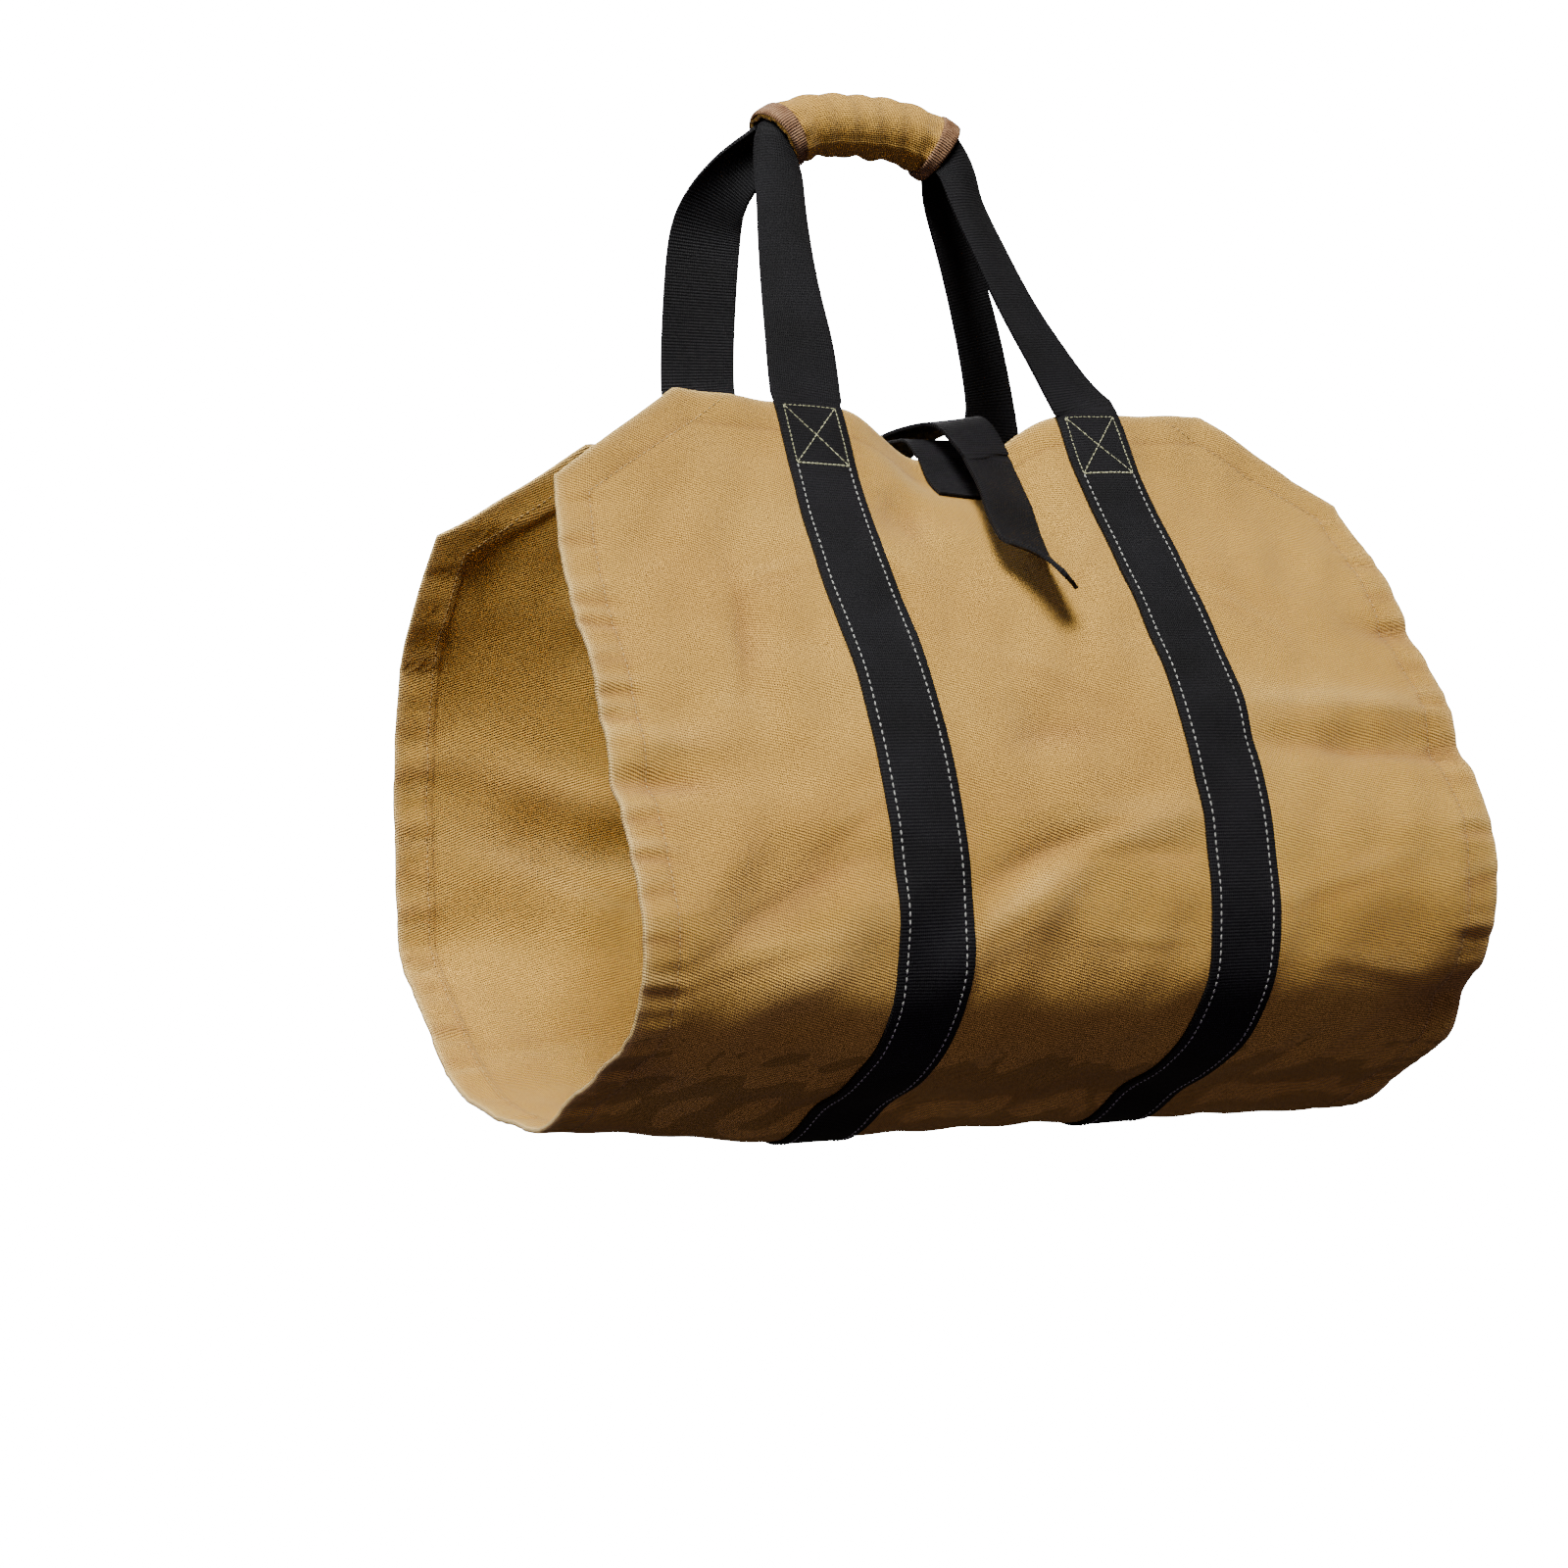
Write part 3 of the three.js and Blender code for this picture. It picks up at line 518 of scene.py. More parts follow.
def newMaterial(name, base, roughness):
    material = bpy.data.materials.new(name)
    material.use_nodes = True
    shader = material.node_tree.nodes["Principled BSDF"]
    setInputs(shader, {"Base Color": (*base, 1), "Roughness": roughness, "Specular IOR Level": 0.25})
    return material, material.node_tree, shader


def addNode(tree, kind, **inputs):
    node = tree.nodes.new(kind)
    for key, value in inputs.items():
        setattr(node, key, value)
    return node


def wave(tree, vector, period, direction, distortion=0.0):
    node = addNode(tree, "ShaderNodeTexWave", wave_type="BANDS", bands_direction=direction)
    setInputs(node, {"Scale": 2 * math.pi / (20 * period), "Distortion": distortion, "Detail": 1})
    tree.links.new(vector, node.inputs["Vector"])
    return node.outputs["Fac"]


def noise(tree, vector, scale, detail=3.0):
    node = addNode(tree, "ShaderNodeTexNoise")
    setInputs(node, {"Scale": scale, "Detail": detail})
    tree.links.new(vector, node.inputs["Vector"])
    return node.outputs["Fac"]


def maths(tree, operation, first, second):
    node = addNode(tree, "ShaderNodeMath", operation=operation)
    for socket, value in zip(node.inputs, (first, second)):
        if isinstance(value, (int, float)):
            socket.default_value = value
        else:
            tree.links.new(value, socket)
    return node.outputs[0]


# Sum of several patterns, each with its weight
def weighted(tree, *parts):
    total = None
    for pattern, weight in parts:
        part = maths(tree, "MULTIPLY", pattern, weight)
        total = maths(tree, "ADD", total, part) if total else part
    return total


def ramp(tree, factor, stops):
    node = addNode(tree, "ShaderNodeValToRGB")
    elements = node.color_ramp.elements
    while len(elements) < len(stops):
        elements.new(0.5)
    for element, (place, color) in zip(elements, stops):
        element.position = place
        element.color = (*color, 1)
    tree.links.new(factor, node.inputs["Fac"])
    return node.outputs["Color"]


def mixColour(tree, factor, first, second, blend="MIX"):
    node = addNode(tree, "ShaderNodeMix", data_type="RGBA", blend_type=blend)
    for socket, value in ((node.inputs[0], factor), (node.inputs[6], first), (node.inputs[7], second)):
        if isinstance(value, (int, float)):
            socket.default_value = value
        elif isinstance(value, tuple):
            socket.default_value = (*value, 1)
        else:
            tree.links.new(value, socket)
    return node.outputs[2]


# Sets a finish's colour, darkened and lightened by its grain
def setColour(tree, shader, base, grain):
    tree.links.new(mixColour(tree, 1.0, base, grain, "MULTIPLY"), shader.inputs["Base Color"])


def bump(tree, shader, height, distance, strength=1.0, before=None):
    node = addNode(tree, "ShaderNodeBump")
    setInputs(node, {"Distance": distance, "Strength": strength})
    tree.links.new(height, node.inputs["Height"])
    if before:
        tree.links.new(before, node.inputs["Normal"])
    tree.links.new(node.outputs["Normal"], shader.inputs["Normal"])
    return node.outputs["Normal"]


def uvOf(tree, turn=0.0):
    node = addNode(tree, "ShaderNodeUVMap", uv_map="metres")
    if not turn:
        return node.outputs["UV"]
    mapping = addNode(tree, "ShaderNodeMapping")
    mapping.inputs["Rotation"].default_value[2] = math.radians(turn)
    tree.links.new(node.outputs["UV"], mapping.inputs["Vector"])
    return mapping.outputs["Vector"]


def objectPlace(tree):
    return addNode(tree, "ShaderNodeTexCoord").outputs["Object"]


def attribute(tree, name):
    return addNode(tree, "ShaderNodeAttribute", attribute_name=name).outputs["Fac"]


# Canvas: twill yarns, mottled wax, pale worn edges with a painted highlight on the fold ridges, and painted
# shade in the fold hollows and along the seam
def canvasMaterial():
    material, tree, shader = newMaterial("canvasCloth", (0.5, 0.31, 0.12), 0.82)
    setInputs(shader, {"Sheen Weight": 0.12, "Sheen Roughness": 0.5})
    place = objectPlace(tree)
    mottled = noise(tree, place, 14, 5)
    tones = [(0.3, (0.42, 0.232, 0.036)), (0.55, (0.46, 0.264, 0.043)), (0.75, (0.5, 0.298, 0.054))]
    base = ramp(tree, mottled, tones)
    # paler: real wear at the cut edges, plus a painted highlight on raised folds
    paler = mixColour(tree, attribute(tree, "wearAndHighlight"), base, (0.74, 0.55, 0.22))
    # darker: painted shade in the fold valleys and the seam groove
    shaded = mixColour(tree, attribute(tree, "paintedShade"), paler, (0.2, 0.085, 0.026))
    twill = wave(tree, uvOf(tree, 72), 0.0013, "X", 0.8)
    yarn = wave(tree, uvOf(tree), 0.0011, "X", 0.5)
    fibre = noise(tree, uvOf(tree), 700, 3)
    weave = weighted(tree, (twill, 0.6), (yarn, 0.4), (fibre, 0.5))
    grain = ramp(tree, weave, [(0.35, (0.36, 0.31, 0.27)), (0.95, (1.28, 1.27, 1.24))])
    setColour(tree, shader, shaded, grain)
    creased = noise(tree, place, 55, 3)
    first = bump(tree, shader, creased, 0.0014, 0.45)
    bump(tree, shader, weave, 0.0005, 1.0, first)
    return material


# Webbing: crosswise ribs with finer lengthwise yarns, black with a soft sheen
def webbingMaterial():
    material, tree, shader = newMaterial("blackWebbing", (0.004, 0.004, 0.0048), 0.66)
    setInputs(shader, {"Specular IOR Level": 0.12, "Sheen Weight": 0.02, "Sheen Roughness": 0.4})
    ribs = wave(tree, uvOf(tree), 0.0016, "Y", 0.2)
    yarns = wave(tree, uvOf(tree), 0.0011, "X", 0.3)
    fuzz = noise(tree, uvOf(tree), 1400, 2)
    weave = weighted(tree, (ribs, 0.7), (yarns, 0.4), (fuzz, 0.4))
    dusty = noise(tree, objectPlace(tree), 30, 4)
    base = ramp(tree, dusty, [(0.3, (0.003, 0.003, 0.0037)), (0.7, (0.006, 0.006, 0.0076))])
    grain = ramp(tree, weave, [(0.3, (0.6, 0.6, 0.6)), (1.0, (1.3, 1.3, 1.3))])
    setColour(tree, shader, base, grain)
    bump(tree, shader, weave, 0.0004, 0.9)
    return material


def threadMaterial(name, colour):
    material, tree, shader = newMaterial(name, colour, 0.6)
    twist = noise(tree, objectPlace(tree), 2600, 2)
    darker = tuple(0.72 * c for c in colour)
    tree.links.new(ramp(tree, twist, [(0.35, darker), (0.7, colour)]), shader.inputs["Base Color"])
    bump(tree, shader, twist, 0.0002, 0.6)
    return material


def bindingMaterial():
    material, tree, shader = newMaterial("ribbedBinding", (0.27, 0.15, 0.075), 0.75)
    ribs = wave(tree, uvOf(tree), 0.0013, "X", 0.3)
    worn = noise(tree, objectPlace(tree), 180, 4)
    base = ramp(tree, worn, [(0.3, (0.17, 0.085, 0.04)), (0.75, (0.36, 0.215, 0.115))])
    grain = ramp(tree, ribs, [(0.1, (0.45, 0.42, 0.4)), (0.8, (1.15, 1.12, 1.1))])
    setColour(tree, shader, base, grain)
    bump(tree, shader, ribs, 0.0006, 0.9)
    return material


canvasCloth = canvasMaterial()
blackWebbing = webbingMaterial()
whiteThread = threadMaterial("whiteThread", (0.34, 0.35, 0.33))
creamThread = threadMaterial("creamThread", (0.42, 0.43, 0.26))
canvasThread = threadMaterial("canvasThread", (0.46, 0.31, 0.11))
ribbedBinding = bindingMaterial()
print("materials made")


# Canvas: columns follow the hems, and rows follow the cut corners
sheet = {
    "hemPlaces": [0, 0.0022, 0.0055, 0.0095, 0.0135, 0.0157, 0.0172, 0.0187, 0.020, 0.0211],
    "columns": 140,
    "rows": 286,
    "frontShare": 0.55,
    "frontRows": 0.72,
    "broadFold": 0.03,
    "smallCrease": 0.0008,
    "seamWidth": 0.0013,
    "wornEdge": 0.0016,
}


def canvasPlaces():
    hemPlaces = np.array(sheet["hemPlaces"])
    inner = halfWidth - hemPlaces[-1]
    middle = np.linspace(-inner, inner, sheet["columns"])[1:-1]
    return np.concatenate([-halfWidth + hemPlaces, middle, (halfWidth - hemPlaces)[::-1]])


def canvasWays(x):
    hemPlaces = np.array(sheet["hemPlaces"])
    total = float(totalAt(x))
    slope = cloth["cutAlong"] / cloth["cutAcross"]
    beyond = abs(x) - (halfWidth - cloth["cutAcross"])
    start = max(0, beyond * slope)
    end = max(hemPlaces[-1], beyond * slope + hemPlaces[-1] * math.hypot(1, slope))
    hems = start + (end - start) * hemPlaces / hemPlaces[-1]
    # the front, which has the most creases, gets the closest rows
    places = np.linspace(0, 1, sheet["rows"])[1:-1]
    shares = np.interp(places, [0, sheet["frontRows"], 1], [0, sheet["frontShare"], 1])
    return np.concatenate([hems, end + (total - 2 * end) * shares, (total - hems)[::-1]])


def makeCanvas():
    places = canvasPlaces()
    ways = np.array([canvasWays(x) for x in places])
    x = np.repeat(places[:, None], ways.shape[1], axis=1)
    points = clothAt(x, ways)
    uvs = np.stack([x + halfWidth, ways], axis=-1)
    piece = gridSheet("canvasSheet", points, uvs, flip=True)
    # the hem is two cloths thick; cut edges are worn pale, fold ridges get a painted highlight, and fold
    # hollows and the seam groove get painted shade
    total = totalAt(x)
    inside = insideOf(x, ways, total)
    hemmed = inside < (sheet["hemPlaces"][-2] + sheet["hemPlaces"][-1]) / 2
    broad = foldHeight(x, 2 * ways / total, total) / (sheet["broadFold"] * halfDepth)
    small = creaseHeight(x, 2 * ways / total, total) / sheet["smallCrease"]
    seam = np.exp(-(((inside - cloth["hemStitch"]) / sheet["seamWidth"]) ** 2))
    # worn pale cut edges, plus a painted highlight on raised folds
    wearAndHighlight = np.clip(0.7 * np.exp(-inside / sheet["wornEdge"]) + 0.16 * np.clip(broad + small, 0, 1), 0, 1)
    # painted shade in fold valleys and along the seam groove
    paintedShade = np.clip(0.26 * np.clip(-broad - 1.2 * small, 0, 1.6) + 0.3 * seam, 0, 1)
    group = piece.vertex_groups.new(name="hem")
    flatHem = hemmed.T.reshape(-1)
    group.add([int(v) for v in np.nonzero(flatHem)[0]], 1.0, "REPLACE")
    group.add([int(v) for v in np.nonzero(~flatHem)[0]], 0.5, "REPLACE")
    for name, values in (("wearAndHighlight", wearAndHighlight), ("paintedShade", paintedShade)):
        layer = piece.data.attributes.new(name, "FLOAT", "POINT")
        layer.data.foreach_set("value", values.T.reshape(-1).astype(np.float32))
    addWall(piece, 2 * cloth["wall"], -1, cloth["rounding"], "hem")
    return finishPiece(piece, canvasCloth, "canvas", "canvas_body")


canvasSheet = makeCanvas()


# Webbing ring: down the front, round the bottom and up the back under the left strap, over the grip, and
# the same way round on the right, as one long web
ring = {
    "columns": 13,
    "sewnRows": 300,
    "runSteps": 64,
    "gripSteps": 36,
    "rimPull": 0.24,
    "gripPull": 0.1,
    "easing": 26,
}


def sewnWeb(side, columns, rows):
    aside = np.linspace(-0.5, 0.5, columns) * web["width"]
    x = side * strapCentre - side * aside
    total = totalAt(x)
    shares = np.linspace(0, 1, rows)
    if side > 0:
        shares = shares[::-1]
    gx = np.repeat(x[:, None], rows, axis=1)
    ways = total[:, None] * shares[None, :]
    return clothAt(gx, ways) + clothNormal(gx, ways) * onCloth


handleRise = -cloth["rimHeight"]
# Runs of the handles from the rim to the grip. bow and lean are shares of the rise, and twist is in degrees.
# All of them begin and end as runEnds says.
runColumns = "share width curl twist bow lean"
runRows = {
    "frontLeft": table(
        runColumns,
        (0.18, 0.96, 0.02, 4, 0, -0.02),
        (0.42, 0.78, 0.08, 14, 0, -0.02),
        (0.74, 0.66, 0.28, 18, 0, -0.02),
        (0.9, 0.74, 0.7, 8, 0, -0.015),
    ),
    "frontRight": table(
        runColumns,
        (0.18, 0.94, 0.02, 14, -0.02, -0.035),
        (0.42, 0.78, 0.08, 16, -0.03, -0.06),
        (0.74, 0.7, 0.28, 18, -0.02, -0.055),
        (0.9, 0.74, 0.7, 8, 0, -0.01),
    ),
    "backLeft": table(
        runColumns,
        (0.1, 1, 0.01, -18, 0.035, 0.035),
        (0.36, 1, 0.02, -22, 0.125, 0.05),
        (0.62, 1, 0.06, -22, 0.14, 0.06),
        (0.84, 0.8, 0.42, -16, 0.08, 0.07),
    ),
    "backRight": table(
        runColumns,
        (0.14, 1, 0.02, -8, 0, 0.01),
        (0.36, 0.98, 0.06, -22, 0.02, 0.01),
        (0.66, 0.9, 0.2, -22, 0.03, -0.01),
        (0.86, 0.8, 0.66, -8, 0.01, 0),
    ),
}
runEnds = table(runColumns, (0, 1, 0, 0, 0, 0), (1, 0.8, 1, 0, 0, 0))


def gripLine(shares):
    droop = -grip["droop"] * np.abs(2 * shares) ** 3
    points = np.stack([shares * grip["length"], np.zeros_like(shares), droop], axis=-1)
    return points, unit(np.gradient(points, axis=0))


def bezier(a, b, c, d, t):
    t = t[:, None]
    return a * (1 - t) ** 3 + 3 * b * t * (1 - t) ** 2 + 3 * c * t**2 * (1 - t) + d * t**3


# Rounds off the bends along a run, and keeps its two ends
def eased(values):
    values = values.copy()
    for _ in range(ring["easing"]):
        values[1:-1] = (values[:-2] + 2 * values[1:-1] + values[2:]) / 4
    return values


def handleRun(facing, side, steps):
    x = np.array([side * strapCentre])
    total = totalAt(x)
    way = np.zeros(1) if facing < 0 else total
    step = 0.004
    near = way + step if facing < 0 else way - step
    atRim = clothAt(x, way)[0]
    normal = clothNormal(x, way)[0]
    upwards = atRim - clothAt(x, near)[0]
    upwards /= np.linalg.norm(upwards)
    mouth, tangents = gripLine(np.linspace(-0.5, 0.5, 41))
    end = mouth[0 if side < 0 else -1] + np.array([0, facing * handleRadius, 0])
    inwards = tangents[0] if side < 0 else -tangents[-1]
    start = atRim + normal * onCloth
    length = np.linalg.norm(end - start)
    pulled = start + upwards * length * ring["rimPull"]
    entering = end - inwards * length * ring["gripPull"]
    fine = bezier(start, pulled, entering, end, np.linspace(0, 1, 200))
    line, _ = evenly(fine, steps + 1)
    shares = np.linspace(0, 1, steps + 1)
    rows = runRows[("front" if facing < 0 else "back") + ("Left" if side < 0 else "Right")]
    smooth = smoothLine([list(row.values()) for row in [runEnds[0], *rows, runEnds[1]]], 20)
    width, curl, twist, bow, lean = (np.interp(shares, smooth[:, 0], smooth[:, k]) for k in range(1, 6))
    line[:, 1] += facing * handleRise * bow
    line[:, 0] += side * handleRise * lean
    radial = np.array([0.0, facing, 0.0])
    ease = gentle(shares)[:, None]
    faces = normal * (1 - ease) + radial * ease
    faces[:, 0] += side * np.tan(np.radians(twist))
    line, faces, width, curl = (eased(values) for values in (line, faces, width, curl))
    return line[1:-1], faces[1:-1], width[1:-1] * web["width"], np.clip(curl, 0, 1)[1:-1] * grip["curl"]


# Points of a web along a line, which faces outwards as faces says and curls across its width
def bandPoints(line, faces, widths, curls, columns, tangents=None):
    if tangents is None:
        tangents = np.gradient(line, axis=0)
    tangents = unit(tangents)
    faces = unit(faces - tangents * (faces * tangents).sum(-1, keepdims=True))
    sideways = np.cross(faces, tangents)
    rows = []
    for place in np.linspace(-0.5, 0.5, columns):
        angle = place * curls
        bent = curls > 0.01
        radius = np.where(bent, widths / np.maximum(curls, 0.01), 0)
        aside = np.where(bent, radius * np.sin(angle), widths * place)
        sunk = np.where(bent, radius * (1 - np.cos(angle)), 0)
        rows.append(line + sideways * aside[:, None] - faces * sunk[:, None])
    return np.array(rows)


def handleWeb(facing, columns, steps, gripSteps):
    left = handleRun(facing, -1, steps)
    right = handleRun(facing, 1, steps)
    middle, _ = gripLine(np.linspace(-0.5, 0.5, gripSteps))
    middle = middle + np.array([0, facing * handleRadius, 0])
    faces = np.tile([0.0, facing, 0.0], (gripSteps, 1))
    widths = np.full(gripSteps, handleRadius * grip["curl"])
    curls = np.full(gripSteps, grip["curl"])
    parts = zip(left, (middle, faces, widths, curls), right)
    line, faces, widths, curls = (np.concatenate([a, b, c[::-1]]) for a, b, c in parts)
    kernel = np.array([1, 2, 3, 2, 1]) / 9
    for values in (widths, curls):
        values[2:-2] = np.convolve(values, kernel, "valid")
    ends = (line[0] - clothRim(-1, facing), clothRim(1, facing) - line[-1])
    tangents = np.gradient(line, axis=0)
    tangents[0] = ends[0]
    tangents[-1] = ends[1]
    return bandPoints(line, faces, widths, curls, columns, tangents)


def clothRim(side, facing):
    x = np.array([side * strapCentre])
    way = np.zeros(1) if facing < 0 else totalAt(x)
    return (clothAt(x, way) + clothNormal(x, way) * onCloth)[0]


def makeWebbing():
    columns = ring["columns"]
    leftSewn = sewnWeb(-1, columns, ring["sewnRows"])
    rightSewn = sewnWeb(1, columns, ring["sewnRows"])
    back = handleWeb(1, columns, ring["runSteps"], ring["gripSteps"])
    # the front handle is walked from right to left, with its sides kept
    front = handleWeb(-1, columns, ring["runSteps"], ring["gripSteps"])[:, ::-1]
    points = np.concatenate([leftSewn[::-1], back, rightSewn[::-1], front, leftSewn[::-1][:, :1]], axis=1)
    aside = np.linspace(-0.5, 0.5, columns) * web["width"]
    uvs = gridUvs(aside + web["width"] / 2, distances(points[columns // 2]))
    piece = gridSheet("webbingRing", points, uvs, closed=True)
    addWall(piece, web["wall"], 0, web["rounding"])
    nodes = ("strap_left", "strap_right", "handle_front", "handle_back")
    return finishPiece(piece, blackWebbing, "webbing", *nodes)


makeWebbing()


# Stitches: short rounded threads laid along a line on a surface. Each run is made by itself first, because
# one large mesh is slow to add to.
def makeStitches(name, runs, material, slot):
    mesh = bpy.data.meshes.new(name)
    whole = bmesh.new()
    for starts, ends, normals, thick in runs:
        bm = bmesh.new()
        for a, b, n in zip(starts, ends, normals):
            a, b, n = Vector(a), Vector(b), Vector(n)
            way = b - a
            side = way.cross(n).normalized()
            up = side.cross(way).normalized()
            turn = Matrix((way / 2, side * thick / 2, up * thick * 0.4)).transposed().to_4x4()
            place = Matrix.Translation((a + b) / 2) @ turn @ Matrix.Rotation(math.pi / 2, 4, "Y")
            bmesh.ops.create_uvsphere(bm, u_segments=6, v_segments=5, radius=1, matrix=place)
        part = bpy.data.meshes.new("run")
        bm.to_mesh(part)
        bm.free()
        whole.from_mesh(part)
        bpy.data.meshes.remove(part)
    for face in whole.faces:
        face.smooth = True
    whole.to_mesh(mesh)
    whole.free()
    piece = bpy.data.objects.new(name, mesh)
    scene.collection.objects.link(piece)
    return finishPiece(piece, material, slot)


# Splits a line on the sheet into stitches, and sets them on the cloth's face or on the web
def stitchRun(x, way, kind, lift):
    pitch, fill = kind["pitch"], kind["fill"]
    length = distances(clothAt(x, way))
    count = max(1, int(length[-1] / pitch))
    starts = (np.arange(count) + (1 - fill) / 2) * length[-1] / count
    ends = starts + fill * length[-1] / count
    spots = []
    for places in (starts, ends):
        px = np.interp(places, length, x)
        pw = np.interp(places, length, way)
        normal = clothNormal(px, pw)
        spots.append((clothAt(px, pw) + normal * lift, normal))
    return spots[0][0], spots[1][0], spots[0][1], kind["thick"]


stitchKinds = {
    "edge": dict(pitch=0.0037, fill=0.7, thick=0.0009),
    "boxSide": dict(pitch=0.0024, fill=0.84, thick=0.0006),
    "boxCross": dict(pitch=0.0034, fill=0.97, thick=0.0006),
    "boxBottom": dict(pitch=0.0022, fill=0.96, thick=0.0011),
    "hem": dict(pitch=0.0033, fill=0.7, thick=0.0007),
}
threadLift = {"web": 0.00015, "hem": 0.0001}
lineSteps = {"edge": 400, "boxSide": 60, "box": 40, "hem": 300}


def strapStitchRuns():
    runs = []
    boxRuns = []
    lift = web["gap"] + web["wall"] + threadLift["web"]
    reach = web["width"] / 2 - web["stitchInset"]
    for side in (-1, 1):
        for edge in (-1, 1):
            x = np.full(lineSteps["edge"], side * strapCentre + edge * reach)
            total = float(totalAt(x[:1])[0])
            # the rows begin below the sewn box, whose own sides are closer stitches
            top, bottom = web["boxTop"], web["boxBottom"]
            way = np.linspace(bottom, total - bottom, len(x))
            runs.append(stitchRun(x, way, stitchKinds["edge"], lift))
            for near, far in ((top, bottom), (total - bottom, total - top)):
                boxWay = np.linspace(near, far, lineSteps["boxSide"])
                boxRuns.append(stitchRun(x[:len(boxWay)], boxWay, stitchKinds["boxSide"], lift))
        for facing in (-1, 1):
            total = float(totalAt(np.array([side * strapCentre]))[0])
            top = web["boxTop"] if facing < 0 else total - web["boxTop"]
            bottom = web["boxBottom"] if facing < 0 else total - web["boxBottom"]
            low = side * strapCentre - reach
            high = side * strapCentre + reach
            lines = [("boxSide", low, top, high, top), ("boxBottom", low, bottom, high, bottom),
                     ("boxCross", low, top, high, bottom), ("boxCross", high, top, low, bottom)]
            for kind, xa, wa, xb, wb in lines:
                x = np.linspace(xa, xb, lineSteps["box"])
                boxRuns.append(stitchRun(x, np.linspace(wa, wb, len(x)), stitchKinds[kind], lift))
    return runs, boxRuns


def hemStitchRuns():
    runs = []
    inset = cloth["hemStitch"]
    across, along = cloth["cutAcross"], cloth["cutAlong"]
    slope = along / across
    # the corner stitch line meets the side line where both lie the same way in
    cutShift = inset * math.hypot(1, slope)
    for side in (-1, 1):
        sideX = side * (halfWidth - inset)
        total = float(totalAt(np.array([sideX]))[0])
        meet = (abs(sideX) - (halfWidth - across)) * slope + cutShift
        rimX = halfWidth - across - cutShift / slope
        for face, lift in ((1, threadLift["hem"]), (-1, -2 * cloth["wall"] - threadLift["hem"])):
            lines = [(sideX, meet, sideX, total - meet), (side * rimX, 0.002, sideX, meet),
                     (side * rimX, total - 0.002, sideX, total - meet)]
            for xa, wa, xb, wb in lines:
                x = np.linspace(xa, xb, lineSteps["hem"])
                way = np.linspace(wa, wb, lineSteps["hem"])
                starts, ends, normals, thick = stitchRun(x, way, stitchKinds["hem"], lift)
                runs.append((starts, ends, normals * face, thick))
    return runs


edgeRuns, boxRuns = strapStitchRuns()
makeStitches("strapStitches", edgeRuns, whiteThread, "webbing")
makeStitches("boxStitches", boxRuns, creamThread, "webbing")
hemStitches = makeStitches("hemStitches", hemStitchRuns(), canvasThread, "canvas")


# Grip: a sleeve of canvas with soft wrinkles, and a ribbed binding on each of its ends
sleeve = {
    "gathers": 0.0006,
    "wrinkle": 0.0005,
    "dent": 0.0009,
    "dentSpacing": 0.23,
    "seam": 0.0007,
    "seamTurn": 2.2,
    "seamWidth": 0.12,
    "calmShare": 0.28,
    "rounding": 0.0006,
}


def sleevePoints(shares, radii, turns):
    middle, tangents = gripLine(shares)
    back = np.array([0.0, 1.0, 0.0])
    ups = unit(np.cross(tangents, back))
    angles = np.linspace(0, 2 * math.pi, turns)
    points = np.empty((turns, len(shares), 3))
    for k, angle in enumerate(angles):
        outwards = ups * math.sin(angle) + back * math.cos(angle)
        points[k] = middle + radii(angle, shares)[:, None] * outwards
    return points, angles


def makeGrip():
    outer = grip["bore"] / 2 + grip["wall"]
    shares = np.linspace(-0.5, 0.5, 90)

    def radii(angle, share):
        nearEnd = gentle((np.abs(share) - sleeve["calmShare"]) / 0.22)
        gathers = sleeve["gathers"] * np.sin(9 * angle + 3 * np.sin(4 * share)) * nearEnd
        twisted = 2.2 * math.sin(angle) + 1.1 * math.sin(2 * angle)
        wrinkle = sleeve["wrinkle"] * np.sin(2 * math.pi * share * 7 + twisted)
        row = np.cos(share * 2 * math.pi / sleeve["dentSpacing"])
        dents = -sleeve["dent"] * row * max(0, math.cos(angle + 0.6)) * (1 - nearEnd)
        beside = math.remainder(angle + sleeve["seamTurn"], 2 * math.pi)
        seam = sleeve["seam"] * math.exp(-(beside / sleeve["seamWidth"]) ** 2)
        return outer + gathers + wrinkle + dents + seam

    points, angles = sleevePoints(shares, radii, 97)
    uvs = gridUvs(angles * outer, shares * grip["length"] + 0.1)
    piece = gridSheet("gripSleeve", points, uvs, closed=True)
    for name in ("wearAndHighlight", "paintedShade"):
        piece.data.attributes.new(name, "FLOAT", "POINT")
    addWall(piece, grip["wall"] * 0.8, -1, sleeve["rounding"])
    return finishPiece(piece, canvasCloth, "canvas", "grip_wrap")


def makeBinding(side, node):
    inner = grip["bore"] / 2 + grip["wall"] + grip["clearance"]
    width = grip["binding"] / grip["length"]
    low, high = (-0.5, -0.5 + width) if side < 0 else (0.5 - width, 0.5)
    shares = np.linspace(low, high, 14)

    def radii(angle, share):
        across = (share - low) / (high - low) * 2 - 1
        rounding = grip["bindingWall"] * np.sqrt(np.maximum(0, 1 - across**6))
        return inner + rounding * (1 + 0.08 * math.sin(5 * angle))

    points, angles = sleevePoints(shares, radii, 121)
    uvs = gridUvs(angles * inner, shares * grip["length"] + 0.1)
    name = "gripBindingLeft" if side < 0 else "gripBindingRight"
    piece = gridSheet(name, points, uvs, closed=True)
    addWall(piece, grip["bindingWall"] * 0.9, -1, grip["bindingRounding"])
    return finishPiece(piece, ribbedBinding, "binding", node)


makeGrip()
makeBinding(-1, "grip_binding_left")
makeBinding(1, "grip_binding_right")

